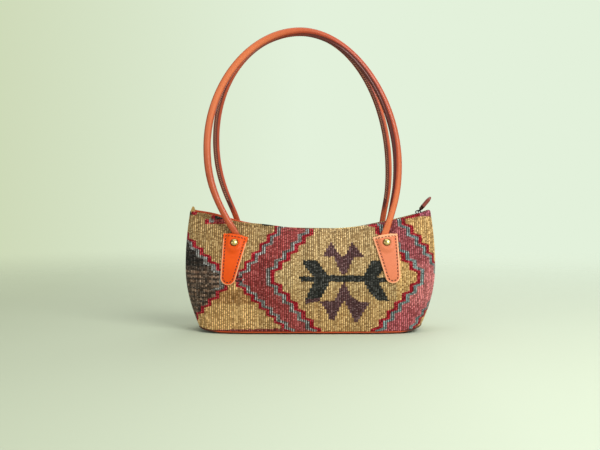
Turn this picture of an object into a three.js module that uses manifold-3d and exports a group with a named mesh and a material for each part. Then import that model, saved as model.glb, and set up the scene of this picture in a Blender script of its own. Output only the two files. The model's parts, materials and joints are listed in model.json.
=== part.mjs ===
// Kilim baguette bag: two kilim panels on an oval leather base, a curved zip and two rolled leather handles.
// Millimetres, +Z up. X runs along the bag, the front faces -Y, and the origin is under the middle of the base.
import * as THREE from 'three';
import { mergeVertices } from 'three/addons/utils/BufferGeometryUtils.js';
import Module from 'manifold-3d';

const wasm = await Module();
wasm.setup();

// Clearance between pieces that touch
const GAP = 0.3;

// Bag body
const WIDEST_HALF_LENGTH = 150;
const WIDEST_HEIGHT = 75;
const BASE_HALF_LENGTH = 132.5;
const MOUTH_HALF_LENGTH = 145;
const BASE_HALF_DEPTH = 44;
const BELLY_HALF_DEPTH = 45;
const BELLY_SHARE = 0.38; // share of the panel's height at which the bag is deepest
const MOUTH_CENTRE_HEIGHT = 121;
const MOUTH_END_HEIGHT = 143;
const FRONT_EDGE_DROP = 3; // the front kilim edge sits lower at its left end
const BASE_SQUARENESS = 2.8; // superellipse exponents of the plan
const FOOT_SQUARING = 1.4; // added at the foot, where the base board holds the cloth out
const FOOT_SHARE = 0.25; // share of the panel's height that the board holds
const MOUTH_SQUARENESS = 5;
const LOW_END_CURVE = 2; // how the ends draw in below and above the widest height
const HIGH_END_CURVE = 2;
const LOW_BELLY_CURVE = 2;
const HIGH_BELLY_CURVE = 1.8;

// Thickness of each layer
const KILIM_THICKNESS = 2.5;
const STRIP_THICKNESS = 1.6;
const LINING_THICKNESS = 0.6;
const BASE_THICKNESS = 3.3;
const BASE_EDGE_ROUND = 1.4;
const BOARD_THICKNESS = 2;
const TAPE_THICKNESS = 0.7;

// Zip
const ZIP_CHANNEL_HALF_WIDTH = 5.7;
const STRIP_DEPTH = 9;
const LINING_BELOW_TAPE = 2.2;
const TAPE_SINK = 1.7; // from the mouth line down to the top of the tape
const TEETH_ABOVE_TAPE = 0.9;
const TEETH_BELOW_TAPE = 0.9;
const TEETH_WIDTH = 1.7;
const TEETH_APART = 1; // running room for the slider's web
const STOP_END_ROOM = 0.8; // from the strip at the mouth's end to a stop
const END_STOP_LENGTH = 4.5;
const END_STOP_RISE = 2.5;
const TOP_STOP_LENGTH = 2;
const SLIDER_LENGTH = 11;
const SLIDER_REST_ROOM = 1.3; // from the top stops to the closed slider
const SLIDER_NOSE_SHARE = 0.7; // the plates narrow towards the nose
const SLIDER_TAIL_SHARE = 0.85;
const SLIDER_WIDEST_SHARE = 0.3;
const SLIDER_WEB_SHARE = 0.8;
const SLIDER_SIDE_ROOM = 1.9;
const SLIDER_PLATE = 1.7;
const BAIL_LENGTH = 7;
const BAIL_WALL = 1.2;
const BAIL_OPENING_HEIGHT = 2.2;
const BAIL_WIDTH = 2;

// Zip pull
const LINK_WIRE = 1.4;
const LINK_THICKNESS = 1.2;
const LINK_SIDE_WIRE = 1;
const LINK_SIDE_ROOM = 1.6;
const LINK_REACH = 6; // from the pivot to the far side of the link
const PULL_LENGTH = 17;
const PULL_WIDTH = 9;
const PULL_THICKNESS = 3.4;
const PULL_SHOULDER = 2.7; // length over which the pull widens from its neck
const PULL_NECK_WIDTH = 6.3;
const PULL_TILT = 50; // degrees above level, towards the right

// Tabs, handle ends and rivets
const TAB_SPREAD_TOP = 88; // from the bag's middle to the middle of a tab's top edge
const TAB_SPREAD_FOOT = 97;
const TAB_TOP_HEIGHT = 113;
const TAB_FOOT_HEIGHT = 57;
const TAB_TOP_WIDTH = 29.5;
const TAB_FOOT_WIDTH = 16;
const TAB_THICKNESS = 2.2;
const HANDLE_END_WIDTH = 10;
const HANDLE_END_LENGTH = 20;
const HANDLE_END_THICKNESS = 2;
const POCKET_ROOM = 1; // the tab rises this far past the handle end's sides
const POCKET_END_ROOM = 3;
const POCKET_RAMP = 5; // and settles on the panel over this length
const RIVET_DROP = 9.5; // below the tab's top edge
const RIVET_DIAMETER = 8.5;
const RIVET_DOME = 2.4;
const RIVET_POST_DIAMETER = 3;
const RIVET_BACK_DIAMETER = 8;
const RIVET_BACK_THICKNESS = 1;

// Handles
const HANDLE_DIAMETER = 8.8;
const HANDLE_WALL = 1.8;
const HANDLE_CORE_ROOM = 0.7; // between the core and the sleeve
const HANDLE_TOP_HEIGHT = 356; // middle of the handle
const HANDLE_FLAT = 4; // thickness where the handle goes under its tab
const HANDLE_FLAT_LENGTH = 16;
const HANDLE_FOOT_ROOM = 1.3; // from the tab's upper edge to the handle's foot
const HANDLES_APART = 0.6; // at the top, where the two nearly meet
const FRONT_HANDLE = {
  left: { halfWidth: 122.2, height: 218, footLean: 33, footPull: 44, widePull: 38.5, arch: 0.553 },
  right: { halfWidth: 103.8, height: 196.5, footLean: 19, footPull: 36, widePull: 31, arch: 0.52 },
  topX: -12.3,
};
const BACK_HANDLE = {
  left: { halfWidth: 114.3, height: 226.5, footLean: -6, footPull: 23.5, widePull: 62, arch: 0.575 },
  right: { halfWidth: 96.1, height: 187.5, footLean: 4, footPull: 31, widePull: 34, arch: 0.548 },
  topX: -11,
};

// Fineness of the facets
const PANEL_COLUMNS = 32;
const PANEL_ROWS = 12;
const LINING_ROWS = 6;
const STRIP_ROWS = 4;
const ZIP_STEPS = 32;
const HANDLE_STEPS = 40;
const HANDLE_SIDES = 8;
const ROUND_SIDES = 12;
const MERGE_DISTANCE = 1e-4;
const NORMAL_STEP = 0.5; // over which the wall's slope is measured

// Values that follow from the sizes above
const FRONT = -1;
const BACK = 1;
const stripInset = KILIM_THICKNESS + 2 * GAP;
const stripInnerInset = stripInset + STRIP_THICKNESS;
const liningInset = stripInnerInset + GAP;
const liningInnerInset = liningInset + LINING_THICKNESS;
const mouthHalfDepth = ZIP_CHANNEL_HALF_WIDTH + liningInnerInset;
const panelFoot = BASE_THICKNESS + GAP;
const boardTop = panelFoot + BOARD_THICKNESS;
const mouthRise = MOUTH_END_HEIGHT - MOUTH_CENTRE_HEIGHT;
const zipRadius = (mouthRise ** 2 + MOUTH_HALF_LENGTH ** 2) / (2 * mouthRise);
const zipCentreHeight = MOUTH_CENTRE_HEIGHT + zipRadius;

// Materials
const material = (colour, roughness, metalness = 0) =>
  new THREE.MeshStandardMaterial({ color: colour, roughness, metalness });
const kilim = () => material(0xa8743f, 0.95);
const leather = () => material(0xcd5f37, 0.5);
const cotton = () => material(0x8a7a64, 0.95);
const tapeCloth = () => material(0x3a2a22, 0.9);
const brass = () => material(0xc49a4a, 0.3, 1);
const board = () => material(0x9a8465, 0.9);
const cord = () => material(0xd8cfba, 0.95);

const bag = new THREE.Group();

function addPiece(name, geometry, finish, parent = bag) {
  const piece = new THREE.Mesh(geometry, finish);
  piece.name = name;
  parent.add(piece);
  return piece;
}

// The bag's surface
const mix = (a, b, share) => a + (b - a) * share;
const mouthHeight = (x) => zipCentreHeight - Math.sqrt(zipRadius ** 2 - x ** 2);
const planDepth = (reach, squareness) => (1 - Math.min(1, Math.abs(reach)) ** squareness) ** (1 / squareness);

function halfLength(z) {
  if (z < WIDEST_HEIGHT) {
    const below = (WIDEST_HEIGHT - z) / WIDEST_HEIGHT;
    return WIDEST_HALF_LENGTH - (WIDEST_HALF_LENGTH - BASE_HALF_LENGTH) * below ** LOW_END_CURVE;
  }
  const above = (z - WIDEST_HEIGHT) / (MOUTH_END_HEIGHT - WIDEST_HEIGHT);
  return WIDEST_HALF_LENGTH - (WIDEST_HALF_LENGTH - MOUTH_HALF_LENGTH) * above ** HIGH_END_CURVE;
}

function halfDepth(share) {
  if (share < BELLY_SHARE) {
    const below = (BELLY_SHARE - share) / BELLY_SHARE;
    return BELLY_HALF_DEPTH - (BELLY_HALF_DEPTH - BASE_HALF_DEPTH) * below ** LOW_BELLY_CURVE;
  }
  const above = (Math.min(share, 1) - BELLY_SHARE) / (1 - BELLY_SHARE);
  return BELLY_HALF_DEPTH - (BELLY_HALF_DEPTH - mouthHalfDepth) * above ** HIGH_BELLY_CURVE;
}

// Height of the mouth, where reach runs from -1 at the left seam to 1 at the right seam
const mouthLine = (reach, inset = 0) => mouthHeight(reach * (MOUTH_HALF_LENGTH - inset));

// Height of a panel's top edge
function edgeHeight(side, reach) {
  const drop = side === FRONT ? FRONT_EDGE_DROP * Math.max(0, -reach) : 0;
  return mouthLine(reach) - drop;
}

const shareAt = (side, reach, z) => (z - panelFoot) / (edgeHeight(side, reach) - panelFoot);

// A point of the wall, inset from its outer face
function wallAt(side, reach, z, inset = 0) {
  const share = shareAt(side, reach, z);
  const height = Math.min(Math.max(share, 0), 1);
  const squaring = FOOT_SQUARING * Math.max(0, 1 - height / FOOT_SHARE) ** 2;
  const squareness = mix(BASE_SQUARENESS, MOUTH_SQUARENESS, height) + squaring;
  const depth = (halfDepth(share) - inset) * planDepth(reach, squareness);
  return new THREE.Vector3((halfLength(z) - inset) * reach, side * (depth + GAP / 2), z);
}

// The same wall by its X place
const wallOver = (side, x, z, inset = 0) => wallAt(side, x / (halfLength(z) - inset), z, inset);

function wallNormal(side, x, z) {
  const across = wallOver(side, x + NORMAL_STEP, z).sub(wallOver(side, x - NORMAL_STEP, z));
  const up = wallOver(side, x, z + NORMAL_STEP).sub(wallOver(side, x, z - NORMAL_STEP));
  return across.cross(up).multiplyScalar(-side).normalize();
}

const reachOf = (along) => Math.sin((along * Math.PI) / 2);

// Closed solids from point grids and rings
function geometryFrom(points, triangles) {
  const geometry = new THREE.BufferGeometry();
  const positions = points.flatMap((point) => [point.x, point.y, point.z]);
  geometry.setAttribute('position', new THREE.Float32BufferAttribute(positions, 3));
  geometry.setIndex(triangles.flat());
  return facingOut(geometry);
}

function facingOut(geometry) {
  const place = geometry.getAttribute('position');
  const index = geometry.getIndex();
  const corner = (i) => new THREE.Vector3().fromBufferAttribute(place, index.getX(i));
  let volume = 0;
  for (let i = 0; i < index.count; i += 3) {
    volume += corner(i).dot(corner(i + 1).cross(corner(i + 2)));
  }
  if (volume < 0) {
    for (let i = 0; i < index.count; i += 3) {
      const second = index.getX(i + 1);
      index.setX(i + 1, index.getX(i + 2));
      index.setX(i + 2, second);
    }
  }
  geometry.computeVertexNormals();
  return geometry;
}

const quad = (a, b, c, d) => [[a, b, c], [a, c, d]];

// A sheet with thickness: face and lining are functions of a column and a row
function sheetSolid(columns, rows, face, lining) {
  const points = [];
  const triangles = [];
  const stride = rows + 1;
  const layer = (columns + 1) * stride;
  for (const surface of [face, lining]) {
    for (let i = 0; i <= columns; i += 1) {
      for (let j = 0; j <= rows; j += 1) {
        points.push(surface(i, j));
      }
    }
  }
  const at = (i, j, side) => side * layer + i * stride + j;
  for (let i = 0; i < columns; i += 1) {
    for (let j = 0; j < rows; j += 1) {
      triangles.push(...quad(at(i, j, 0), at(i + 1, j, 0), at(i + 1, j + 1, 0), at(i, j + 1, 0)));
      triangles.push(...quad(at(i, j, 1), at(i, j + 1, 1), at(i + 1, j + 1, 1), at(i + 1, j, 1)));
    }
    triangles.push(...quad(at(i, 0, 0), at(i, 0, 1), at(i + 1, 0, 1), at(i + 1, 0, 0)));
    triangles.push(...quad(at(i, rows, 0), at(i + 1, rows, 0), at(i + 1, rows, 1), at(i, rows, 1)));
  }
  for (let j = 0; j < rows; j += 1) {
    triangles.push(...quad(at(0, j, 0), at(0, j + 1, 0), at(0, j + 1, 1), at(0, j, 1)));
    triangles.push(...quad(at(columns, j, 0), at(columns, j, 1), at(columns, j + 1, 1), at(columns, j + 1, 0)));
  }
  return geometryFrom(points, triangles);
}

// Rings of equal count joined one after another, with flat fans at both ends
function ringSolid(rings) {
  const count = rings[0].length;
  const points = rings.flat();
  const triangles = [];
  for (let k = 0; k + 1 < rings.length; k += 1) {
    for (let i = 0; i < count; i += 1) {
      const next = (i + 1) % count;
      triangles.push(...quad(k * count + i, k * count + next, (k + 1) * count + next, (k + 1) * count + i));
    }
  }
  const last = (rings.length - 1) * count;
  for (let i = 1; i + 1 < count; i += 1) {
    triangles.push([0, i + 1, i]);
    triangles.push([last, last + i, last + i + 1]);
  }
  return geometryFrom(points, triangles);
}

// Joins and cuts
function toManifold(geometry) {
  const bare = geometry.clone();
  bare.deleteAttribute('normal');
  bare.deleteAttribute('uv');
  const merged = mergeVertices(bare, MERGE_DISTANCE);
  return new wasm.Manifold(new wasm.Mesh({
    numProp: 3,
    vertProperties: new Float32Array(merged.getAttribute('position').array),
    triVerts: new Uint32Array(merged.getIndex().array),
  }));
}

function fromManifold(solid) {
  const mesh = solid.getMesh();
  const geometry = new THREE.BufferGeometry();
  geometry.setAttribute('position', new THREE.Float32BufferAttribute(mesh.vertProperties, 3));
  geometry.setIndex(new THREE.Uint32BufferAttribute(mesh.triVerts, 1));
  geometry.computeVertexNormals();
  return geometry;
}

const cutAway = (geometry, tools) =>
  fromManifold(tools.reduce((solid, tool) => solid.subtract(toManifold(tool)), toManifold(geometry)));

const joined = (geometries) =>
  fromManifold(geometries.map(toManifold).reduce((solid, next) => solid.add(next)));

// Tabs: a place on a tab is given by its share across (-1 to 1) and its share down (0 to 1)
const TAB_ROWS = [0, 0.1, 0.2, 0.3, 0.42, 0.55, 0.7, 0.84, 0.93, 1];
const TAB_COLUMNS = [-1, -0.72, -0.4, -0.2, 0.2, 0.4, 0.72, 1];
const TAB_FOOT_START = 0.84; // the foot is rounded below this share
const TAB_TIP_SHARE = 0.4;
const tabAxis = new THREE.Vector2(TAB_SPREAD_FOOT - TAB_SPREAD_TOP, TAB_FOOT_HEIGHT - TAB_TOP_HEIGHT);
const tabLength = tabAxis.length();
tabAxis.normalize();

function tabHalfWidth(down) {
  const plain = mix(TAB_TOP_WIDTH, TAB_FOOT_WIDTH, down) / 2;
  const round = Math.max(0, (down - TAB_FOOT_START) / (1 - TAB_FOOT_START));
  return plain * mix(1, TAB_TIP_SHARE, 1 - Math.sqrt(1 - round ** 2));
}

// X and Z of a place on a tab, by distances from the middle of its top edge
function tabPlace(hand, across, down) {
  const x = hand * (TAB_SPREAD_TOP + tabAxis.x * down) - tabAxis.y * across;
  const z = TAB_TOP_HEIGHT + tabAxis.y * down + hand * tabAxis.x * across;
  return { x, z };
}

function tabPoint(side, hand, across, down, lift) {
  const { x, z } = tabPlace(hand, across, down);
  return wallOver(side, x, z).addScaledVector(wallNormal(side, x, z), lift);
}

// The tab lies on the panel, and rises over the flattened handle end, which reaches up to the handle's foot
const pocketLift = HANDLE_END_THICKNESS + GAP;
const pocketHalfWidth = HANDLE_END_WIDTH / 2 + POCKET_ROOM;
const pocketLength = HANDLE_END_LENGTH + POCKET_END_ROOM;
const tabTopLift = GAP + pocketLift + TAB_THICKNESS;
const upwardLean = wallNormal(FRONT, TAB_SPREAD_TOP, TAB_TOP_HEIGHT).z;
const handleFootHeight = TAB_TOP_HEIGHT + tabTopLift * upwardLean + HANDLE_FOOT_ROOM;
const handleEndRise = handleFootHeight - TAB_TOP_HEIGHT - (GAP + HANDLE_END_THICKNESS) * upwardLean - 2 * GAP;

function tabLift(across, down) {
  const aside = Math.max(0, Math.abs(across) - pocketHalfWidth) / POCKET_RAMP;
  const past = Math.max(0, down - pocketLength) / POCKET_RAMP;
  return GAP + pocketLift * Math.max(0, 1 - aside) * Math.max(0, 1 - past);
}

function tabGeometry(side, hand) {
  const surface = (thickness) => (i, j) => {
    const down = TAB_ROWS[j];
    const across = TAB_COLUMNS[i] * tabHalfWidth(down);
    const lift = tabLift(across, down * tabLength) + thickness;
    return tabPoint(side, hand, across, down * tabLength, lift);
  };
  return sheetSolid(TAB_COLUMNS.length - 1, TAB_ROWS.length - 1, surface(TAB_THICKNESS), surface(0));
}

function handleEndGeometry(side, hand) {
  const columns = 4;
  const rows = 6;
  const surface = (lift) => (i, j) => {
    const across = mix(-HANDLE_END_WIDTH / 2, HANDLE_END_WIDTH / 2, i / columns);
    return tabPoint(side, hand, across, mix(-handleEndRise, HANDLE_END_LENGTH, j / rows), lift);
  };
  return sheetSolid(columns, rows, surface(GAP + HANDLE_END_THICKNESS), surface(GAP));
}

// Rivets: a domed cap and post from outside, and a washer on the inside of the panel
const rivetSeat = tabTopLift + GAP;
const rivetReach = KILIM_THICKNESS + GAP + RIVET_BACK_THICKNESS;

function rivetFrame(side, hand) {
  const { x, z } = tabPlace(hand, 0, RIVET_DROP);
  const normal = wallNormal(side, x, z);
  const turn = new THREE.Quaternion().setFromUnitVectors(new THREE.Vector3(0, 0, 1), normal);
  return new THREE.Matrix4().compose(wallOver(side, x, z), turn, new THREE.Vector3(1, 1, 1));
}

function latheAlongZ(profile) {
  const outline = profile.map(([radius, height]) => new THREE.Vector2(radius, height));
  return mergeVertices(new THREE.LatheGeometry(outline, ROUND_SIDES).rotateX(Math.PI / 2), MERGE_DISTANCE);
}

function rivetGeometry() {
  const radius = RIVET_DIAMETER / 2;
  const post = RIVET_POST_DIAMETER / 2;
  return latheAlongZ([
    [0, -rivetReach],
    [post, -rivetReach],
    [post, rivetSeat],
    [radius, rivetSeat],
    ...[0.5, 0.8, 1].map((share) => [
      radius * Math.sqrt(1 - share ** 2),
      rivetSeat + RIVET_DOME * share,
    ]),
  ]);
}

function rivetBackGeometry() {
  const outer = RIVET_BACK_DIAMETER / 2;
  const inner = RIVET_POST_DIAMETER / 2 + GAP;
  const near = -(KILIM_THICKNESS + GAP);
  const far = near - RIVET_BACK_THICKNESS;
  return latheAlongZ([[inner, far], [outer, far], [outer, near], [inner, near], [inner, far]]);
}

function rivetHole(side, hand) {
  const radius = RIVET_POST_DIAMETER / 2 + GAP;
  const reach = rivetSeat + rivetReach + RIVET_DIAMETER;
  const hole = new THREE.CylinderGeometry(radius, radius, 2 * reach, ROUND_SIDES).rotateX(Math.PI / 2);
  return hole.applyMatrix4(rivetFrame(side, hand));
}

// Kilim panels
function panelGeometry(side) {
  const surface = (inset) => (i, j) => {
    const reach = reachOf(mix(-1, 1, i / PANEL_COLUMNS));
    return wallAt(side, reach, mix(panelFoot, edgeHeight(side, reach), j / PANEL_ROWS), inset);
  };
  return sheetSolid(PANEL_COLUMNS, PANEL_ROWS, surface(0), surface(KILIM_THICKNESS));
}

// Leather strip inside each panel's top edge
function stripGeometry(side) {
  const surface = (inset) => (i, j) => {
    const reach = reachOf(mix(-1, 1, i / PANEL_COLUMNS));
    const top = mouthLine(reach, inset);
    return wallAt(side, reach, mix(top - STRIP_DEPTH, top, j / STRIP_ROWS), inset);
  };
  return sheetSolid(PANEL_COLUMNS, STRIP_ROWS, surface(stripInset), surface(stripInnerInset));
}

// Outline of the bag at a height, all the way round
function planRing(z, wallHeight, inset) {
  const ring = [];
  for (const side of [FRONT, BACK]) {
    for (let i = 0; i < PANEL_COLUMNS; i += 1) {
      const reach = side * -reachOf(mix(-1, 1, i / PANEL_COLUMNS));
      const point = wallAt(side, reach, wallHeight, inset);
      ring.push(point.setZ(z));
    }
  }
  return ring;
}

function basePanelGeometry() {
  return ringSolid([
    planRing(0, panelFoot, BASE_EDGE_ROUND),
    planRing(BASE_EDGE_ROUND, panelFoot, 0),
    planRing(BASE_THICKNESS, panelFoot, 0),
  ]);
}

function baseBoardGeometry() {
  const inset = KILIM_THICKNESS + GAP;
  return ringSolid([planRing(panelFoot, panelFoot, inset), planRing(boardTop, panelFoot, inset)]);
}

// Cotton lining: a sack, open at the zip
function liningGeometry() {
  const foot = boardTop + GAP;
  const topSink = TAPE_SINK + TAPE_THICKNESS + LINING_BELOW_TAPE;
  const ringAt = (level, inset, floor) => {
    const ring = [];
    for (const side of [FRONT, BACK]) {
      for (let i = 0; i < PANEL_COLUMNS; i += 1) {
        const reach = side * -reachOf(mix(-1, 1, i / PANEL_COLUMNS));
        const top = mouthLine(reach, inset) - topSink;
        ring.push(wallAt(side, reach, mix(floor, top, level / LINING_ROWS), inset));
      }
    }
    return ring;
  };
  const rings = [];
  for (let level = 0; level <= LINING_ROWS; level += 1) {
    rings.push(ringAt(level, liningInset, foot));
  }
  for (let level = LINING_ROWS; level >= 0; level -= 1) {
    rings.push(ringAt(level, liningInnerInset, foot + LINING_THICKNESS));
  }
  return ringSolid(rings);
}

// Zip parts follow the mouth's arc: a place is given by its turn along the arc, its Y and its lift above the line
function zipPoint(turn, y, lift) {
  const radius = zipRadius - lift;
  return new THREE.Vector3(radius * Math.sin(turn), y, zipCentreHeight - radius * Math.cos(turn));
}

const turnAt = (x) => Math.asin(x / zipRadius);
const tapeTop = -TAPE_SINK;
const tapeFoot = tapeTop - TAPE_THICKNESS;
const teethTop = tapeTop + TEETH_ABOVE_TAPE;
const teethFoot = tapeFoot - TEETH_BELOW_TAPE;
const teethInner = TEETH_APART / 2;
const teethOuter = teethInner + TEETH_WIDTH;
const tapeInner = teethOuter + GAP;
const mouthInnerEnd =
  Math.min(halfLength(MOUTH_END_HEIGHT), halfLength(MOUTH_END_HEIGHT - STRIP_DEPTH)) - stripInnerInset;
const stopX = mouthInnerEnd - STOP_END_ROOM;
const endStopInnerX = -(stopX - END_STOP_LENGTH);
const topStopInnerX = stopX - TOP_STOP_LENGTH;
const sliderRestX = topStopInnerX - SLIDER_REST_ROOM - SLIDER_LENGTH / 2;

function zipSweep(startX, endX, steps, section) {
  const rings = [];
  for (let k = 0; k <= steps; k += 1) {
    rings.push(section(mix(turnAt(startX), turnAt(endX), k / steps)));
  }
  return ringSolid(rings);
}

function boxSection(side, inner, outer, foot, top) {
  return (turn) => [
    zipPoint(turn, side * inner, foot),
    zipPoint(turn, side * outer, foot),
    zipPoint(turn, side * outer, top),
    zipPoint(turn, side * inner, top),
  ];
}

// The tape reaches out to the strip
function tapeGeometry(side) {
  const reachOut = (turn, lift) => {
    const inner = zipPoint(turn, side * tapeInner, lift);
    const wall = wallOver(side, inner.x, inner.z, stripInnerInset);
    return inner.clone().setY(side * Math.max(Math.abs(wall.y) - GAP, tapeInner + GAP));
  };
  const section = (turn) => [
    zipPoint(turn, side * tapeInner, tapeFoot),
    reachOut(turn, tapeFoot),
    reachOut(turn, tapeTop),
    zipPoint(turn, side * tapeInner, tapeTop),
  ];
  return zipSweep(-stopX, stopX, ZIP_STEPS, section);
}

const teethGeometry = (side) =>
  zipSweep(
    endStopInnerX + GAP,
    topStopInnerX - GAP,
    ZIP_STEPS,
    boxSection(side, teethInner, teethOuter, teethFoot, teethTop),
  );

const endStopGeometry = () =>
  zipSweep(-stopX, endStopInnerX, 1, boxSection(BACK, -teethOuter, teethOuter, teethFoot, END_STOP_RISE));

const topStopGeometry = (side) =>
  zipSweep(topStopInnerX, stopX, 1, boxSection(side, teethInner, teethOuter, teethFoot, teethTop));

// Slider: two plates joined by a web between the rows of teeth, and a bail for the pull
const sliderHalfWidth = ZIP_CHANNEL_HALF_WIDTH - SLIDER_SIDE_ROOM;
const plateFoot = teethTop + GAP;
const plateTop = plateFoot + SLIDER_PLATE;
const pivotLift = plateTop + BAIL_OPENING_HEIGHT / 2;
const blockBetween = (low, high) =>
  new THREE.BoxGeometry(high[0] - low[0], high[1] - low[1], high[2] - low[2])
    .translate((high[0] + low[0]) / 2, (high[1] + low[1]) / 2, (high[2] + low[2]) / 2);

function sliderPlate(foot, top) {
  const half = SLIDER_LENGTH / 2;
  const nose = sliderHalfWidth * SLIDER_NOSE_SHARE;
  const tail = sliderHalfWidth * SLIDER_TAIL_SHARE;
  const widest = half * SLIDER_WIDEST_SHARE;
  const outline = new THREE.Shape();
  outline.moveTo(-half, -nose);
  outline.lineTo(widest, -sliderHalfWidth);
  outline.lineTo(half, -tail);
  outline.lineTo(half, tail);
  outline.lineTo(widest, sliderHalfWidth);
  outline.lineTo(-half, nose);
  return new THREE.ExtrudeGeometry(outline, { depth: top - foot, bevelEnabled: false }).translate(0, 0, foot);
}

function sliderGeometry() {
  const webHalf = teethInner - GAP;
  const lowTop = teethFoot - GAP;
  const lowFoot = lowTop - SLIDER_PLATE;
  const half = SLIDER_LENGTH / 2;
  const bailHalf = BAIL_LENGTH / 2;
  const bailTop = plateTop + BAIL_OPENING_HEIGHT + BAIL_WALL;
  const bite = SLIDER_PLATE / 2;
  const web = blockBetween([0, -webHalf, lowTop - bite], [half * SLIDER_WEB_SHARE, webHalf, plateFoot + bite]);
  const bail = new THREE.Shape();
  bail.moveTo(-bailHalf, plateTop - bite);
  bail.lineTo(bailHalf, plateTop - bite);
  bail.lineTo(bailHalf, plateTop + BAIL_OPENING_HEIGHT);
  bail.lineTo(bailHalf - BAIL_WALL, bailTop);
  bail.lineTo(BAIL_WALL - bailHalf, bailTop);
  bail.lineTo(-bailHalf, plateTop + BAIL_OPENING_HEIGHT);
  const opening = new THREE.Path();
  opening.moveTo(BAIL_WALL - bailHalf, plateTop);
  opening.lineTo(bailHalf - BAIL_WALL, plateTop);
  opening.lineTo(bailHalf - BAIL_WALL, plateTop + BAIL_OPENING_HEIGHT);
  opening.lineTo(BAIL_WALL - bailHalf, plateTop + BAIL_OPENING_HEIGHT);
  bail.holes.push(opening);
  const arch = new THREE.ExtrudeGeometry(bail, { depth: BAIL_WIDTH, bevelEnabled: false })
    .translate(0, 0, -BAIL_WIDTH / 2)
    .rotateX(Math.PI / 2);
  return joined([sliderPlate(plateFoot, plateTop), sliderPlate(lowFoot, lowTop), web, arch]);
}

// Link and leather pull, along +X from the pivot
function rectanglePath(path, low, high) {
  path.moveTo(low[0], low[1]);
  path.lineTo(high[0], low[1]);
  path.lineTo(high[0], high[1]);
  path.lineTo(low[0], high[1]);
  return path;
}

function linkGeometry() {
  const innerHalf = BAIL_WIDTH / 2 + LINK_SIDE_ROOM;
  const outerHalf = innerHalf + LINK_SIDE_WIRE;
  const outline = rectanglePath(new THREE.Shape(), [-LINK_WIRE / 2, -outerHalf], [LINK_REACH, outerHalf]);
  outline.holes.push(
    rectanglePath(new THREE.Path(), [LINK_WIRE / 2, -innerHalf], [LINK_REACH - LINK_WIRE, innerHalf]),
  );
  return new THREE.ExtrudeGeometry(outline, { depth: LINK_THICKNESS, bevelEnabled: false })
    .translate(0, 0, -LINK_THICKNESS / 2);
}

function pullGeometry() {
  const start = LINK_REACH + GAP;
  const tip = start + PULL_LENGTH;
  const half = PULL_WIDTH / 2;
  const outline = new THREE.Shape();
  outline.moveTo(start, -PULL_NECK_WIDTH / 2);
  outline.lineTo(start + PULL_SHOULDER, -half);
  outline.lineTo(tip - half, -half);
  outline.absarc(tip - half, 0, half, -Math.PI / 2, Math.PI / 2);
  outline.lineTo(start + PULL_SHOULDER, half);
  outline.lineTo(start, PULL_NECK_WIDTH / 2);
  return new THREE.ExtrudeGeometry(outline, { depth: PULL_THICKNESS, bevelEnabled: false, curveSegments: 5 })
    .translate(0, 0, -PULL_THICKNESS / 2);
}

// Handles: a loop in a leaning plane, round in section and flattened at both feet
function handleLoop(form) {
  const foot = (hand) => new THREE.Vector2(hand * TAB_SPREAD_TOP, 0);
  const up = (z) => z - handleFootHeight;
  const top = new THREE.Vector2(form.topX, up(HANDLE_TOP_HEIGHT));
  const legOf = (hand, leg) => {
    const start = foot(hand);
    const wide = new THREE.Vector2(hand * leg.halfWidth, up(leg.height));
    const lean = THREE.MathUtils.degToRad(leg.footLean);
    const fromFoot = new THREE.Vector2(hand * Math.sin(lean), Math.cos(lean)).multiplyScalar(leg.footPull);
    const toWide = new THREE.Vector2(0, -leg.widePull);
    return {
      lower: [start, start.clone().add(fromFoot), wide.clone().add(toWide), wide],
      upper: [
        wide,
        new THREE.Vector2(wide.x, mix(wide.y, top.y, leg.arch)),
        new THREE.Vector2(mix(top.x, wide.x, leg.arch), top.y),
        top,
      ],
    };
  };
  const left = legOf(-1, form.left);
  const right = legOf(1, form.right);
  const path = new THREE.CurvePath();
  path.add(new THREE.CubicBezierCurve(...left.lower));
  path.add(new THREE.CubicBezierCurve(...left.upper));
  path.add(new THREE.CubicBezierCurve(...right.upper.toReversed()));
  path.add(new THREE.CubicBezierCurve(...right.lower.toReversed()));
  return path;
}

// The plane leans from the tabs to where the two handles meet
function handlePlane(side) {
  const foot = wallOver(side, TAB_SPREAD_TOP, handleFootHeight);
  const stand = GAP + HANDLE_FLAT / 2 + GAP;
  const start = new THREE.Vector2(foot.y, handleFootHeight)
    .addScaledVector(new THREE.Vector2(side, 0), stand / Math.abs(wallNormal(side, foot.x, foot.z).y));
  const end = new THREE.Vector2((side * (HANDLE_DIAMETER + HANDLES_APART)) / 2, HANDLE_TOP_HEIGHT);
  return { start, rise: end.sub(start).divideScalar(HANDLE_TOP_HEIGHT - handleFootHeight) };
}

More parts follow.
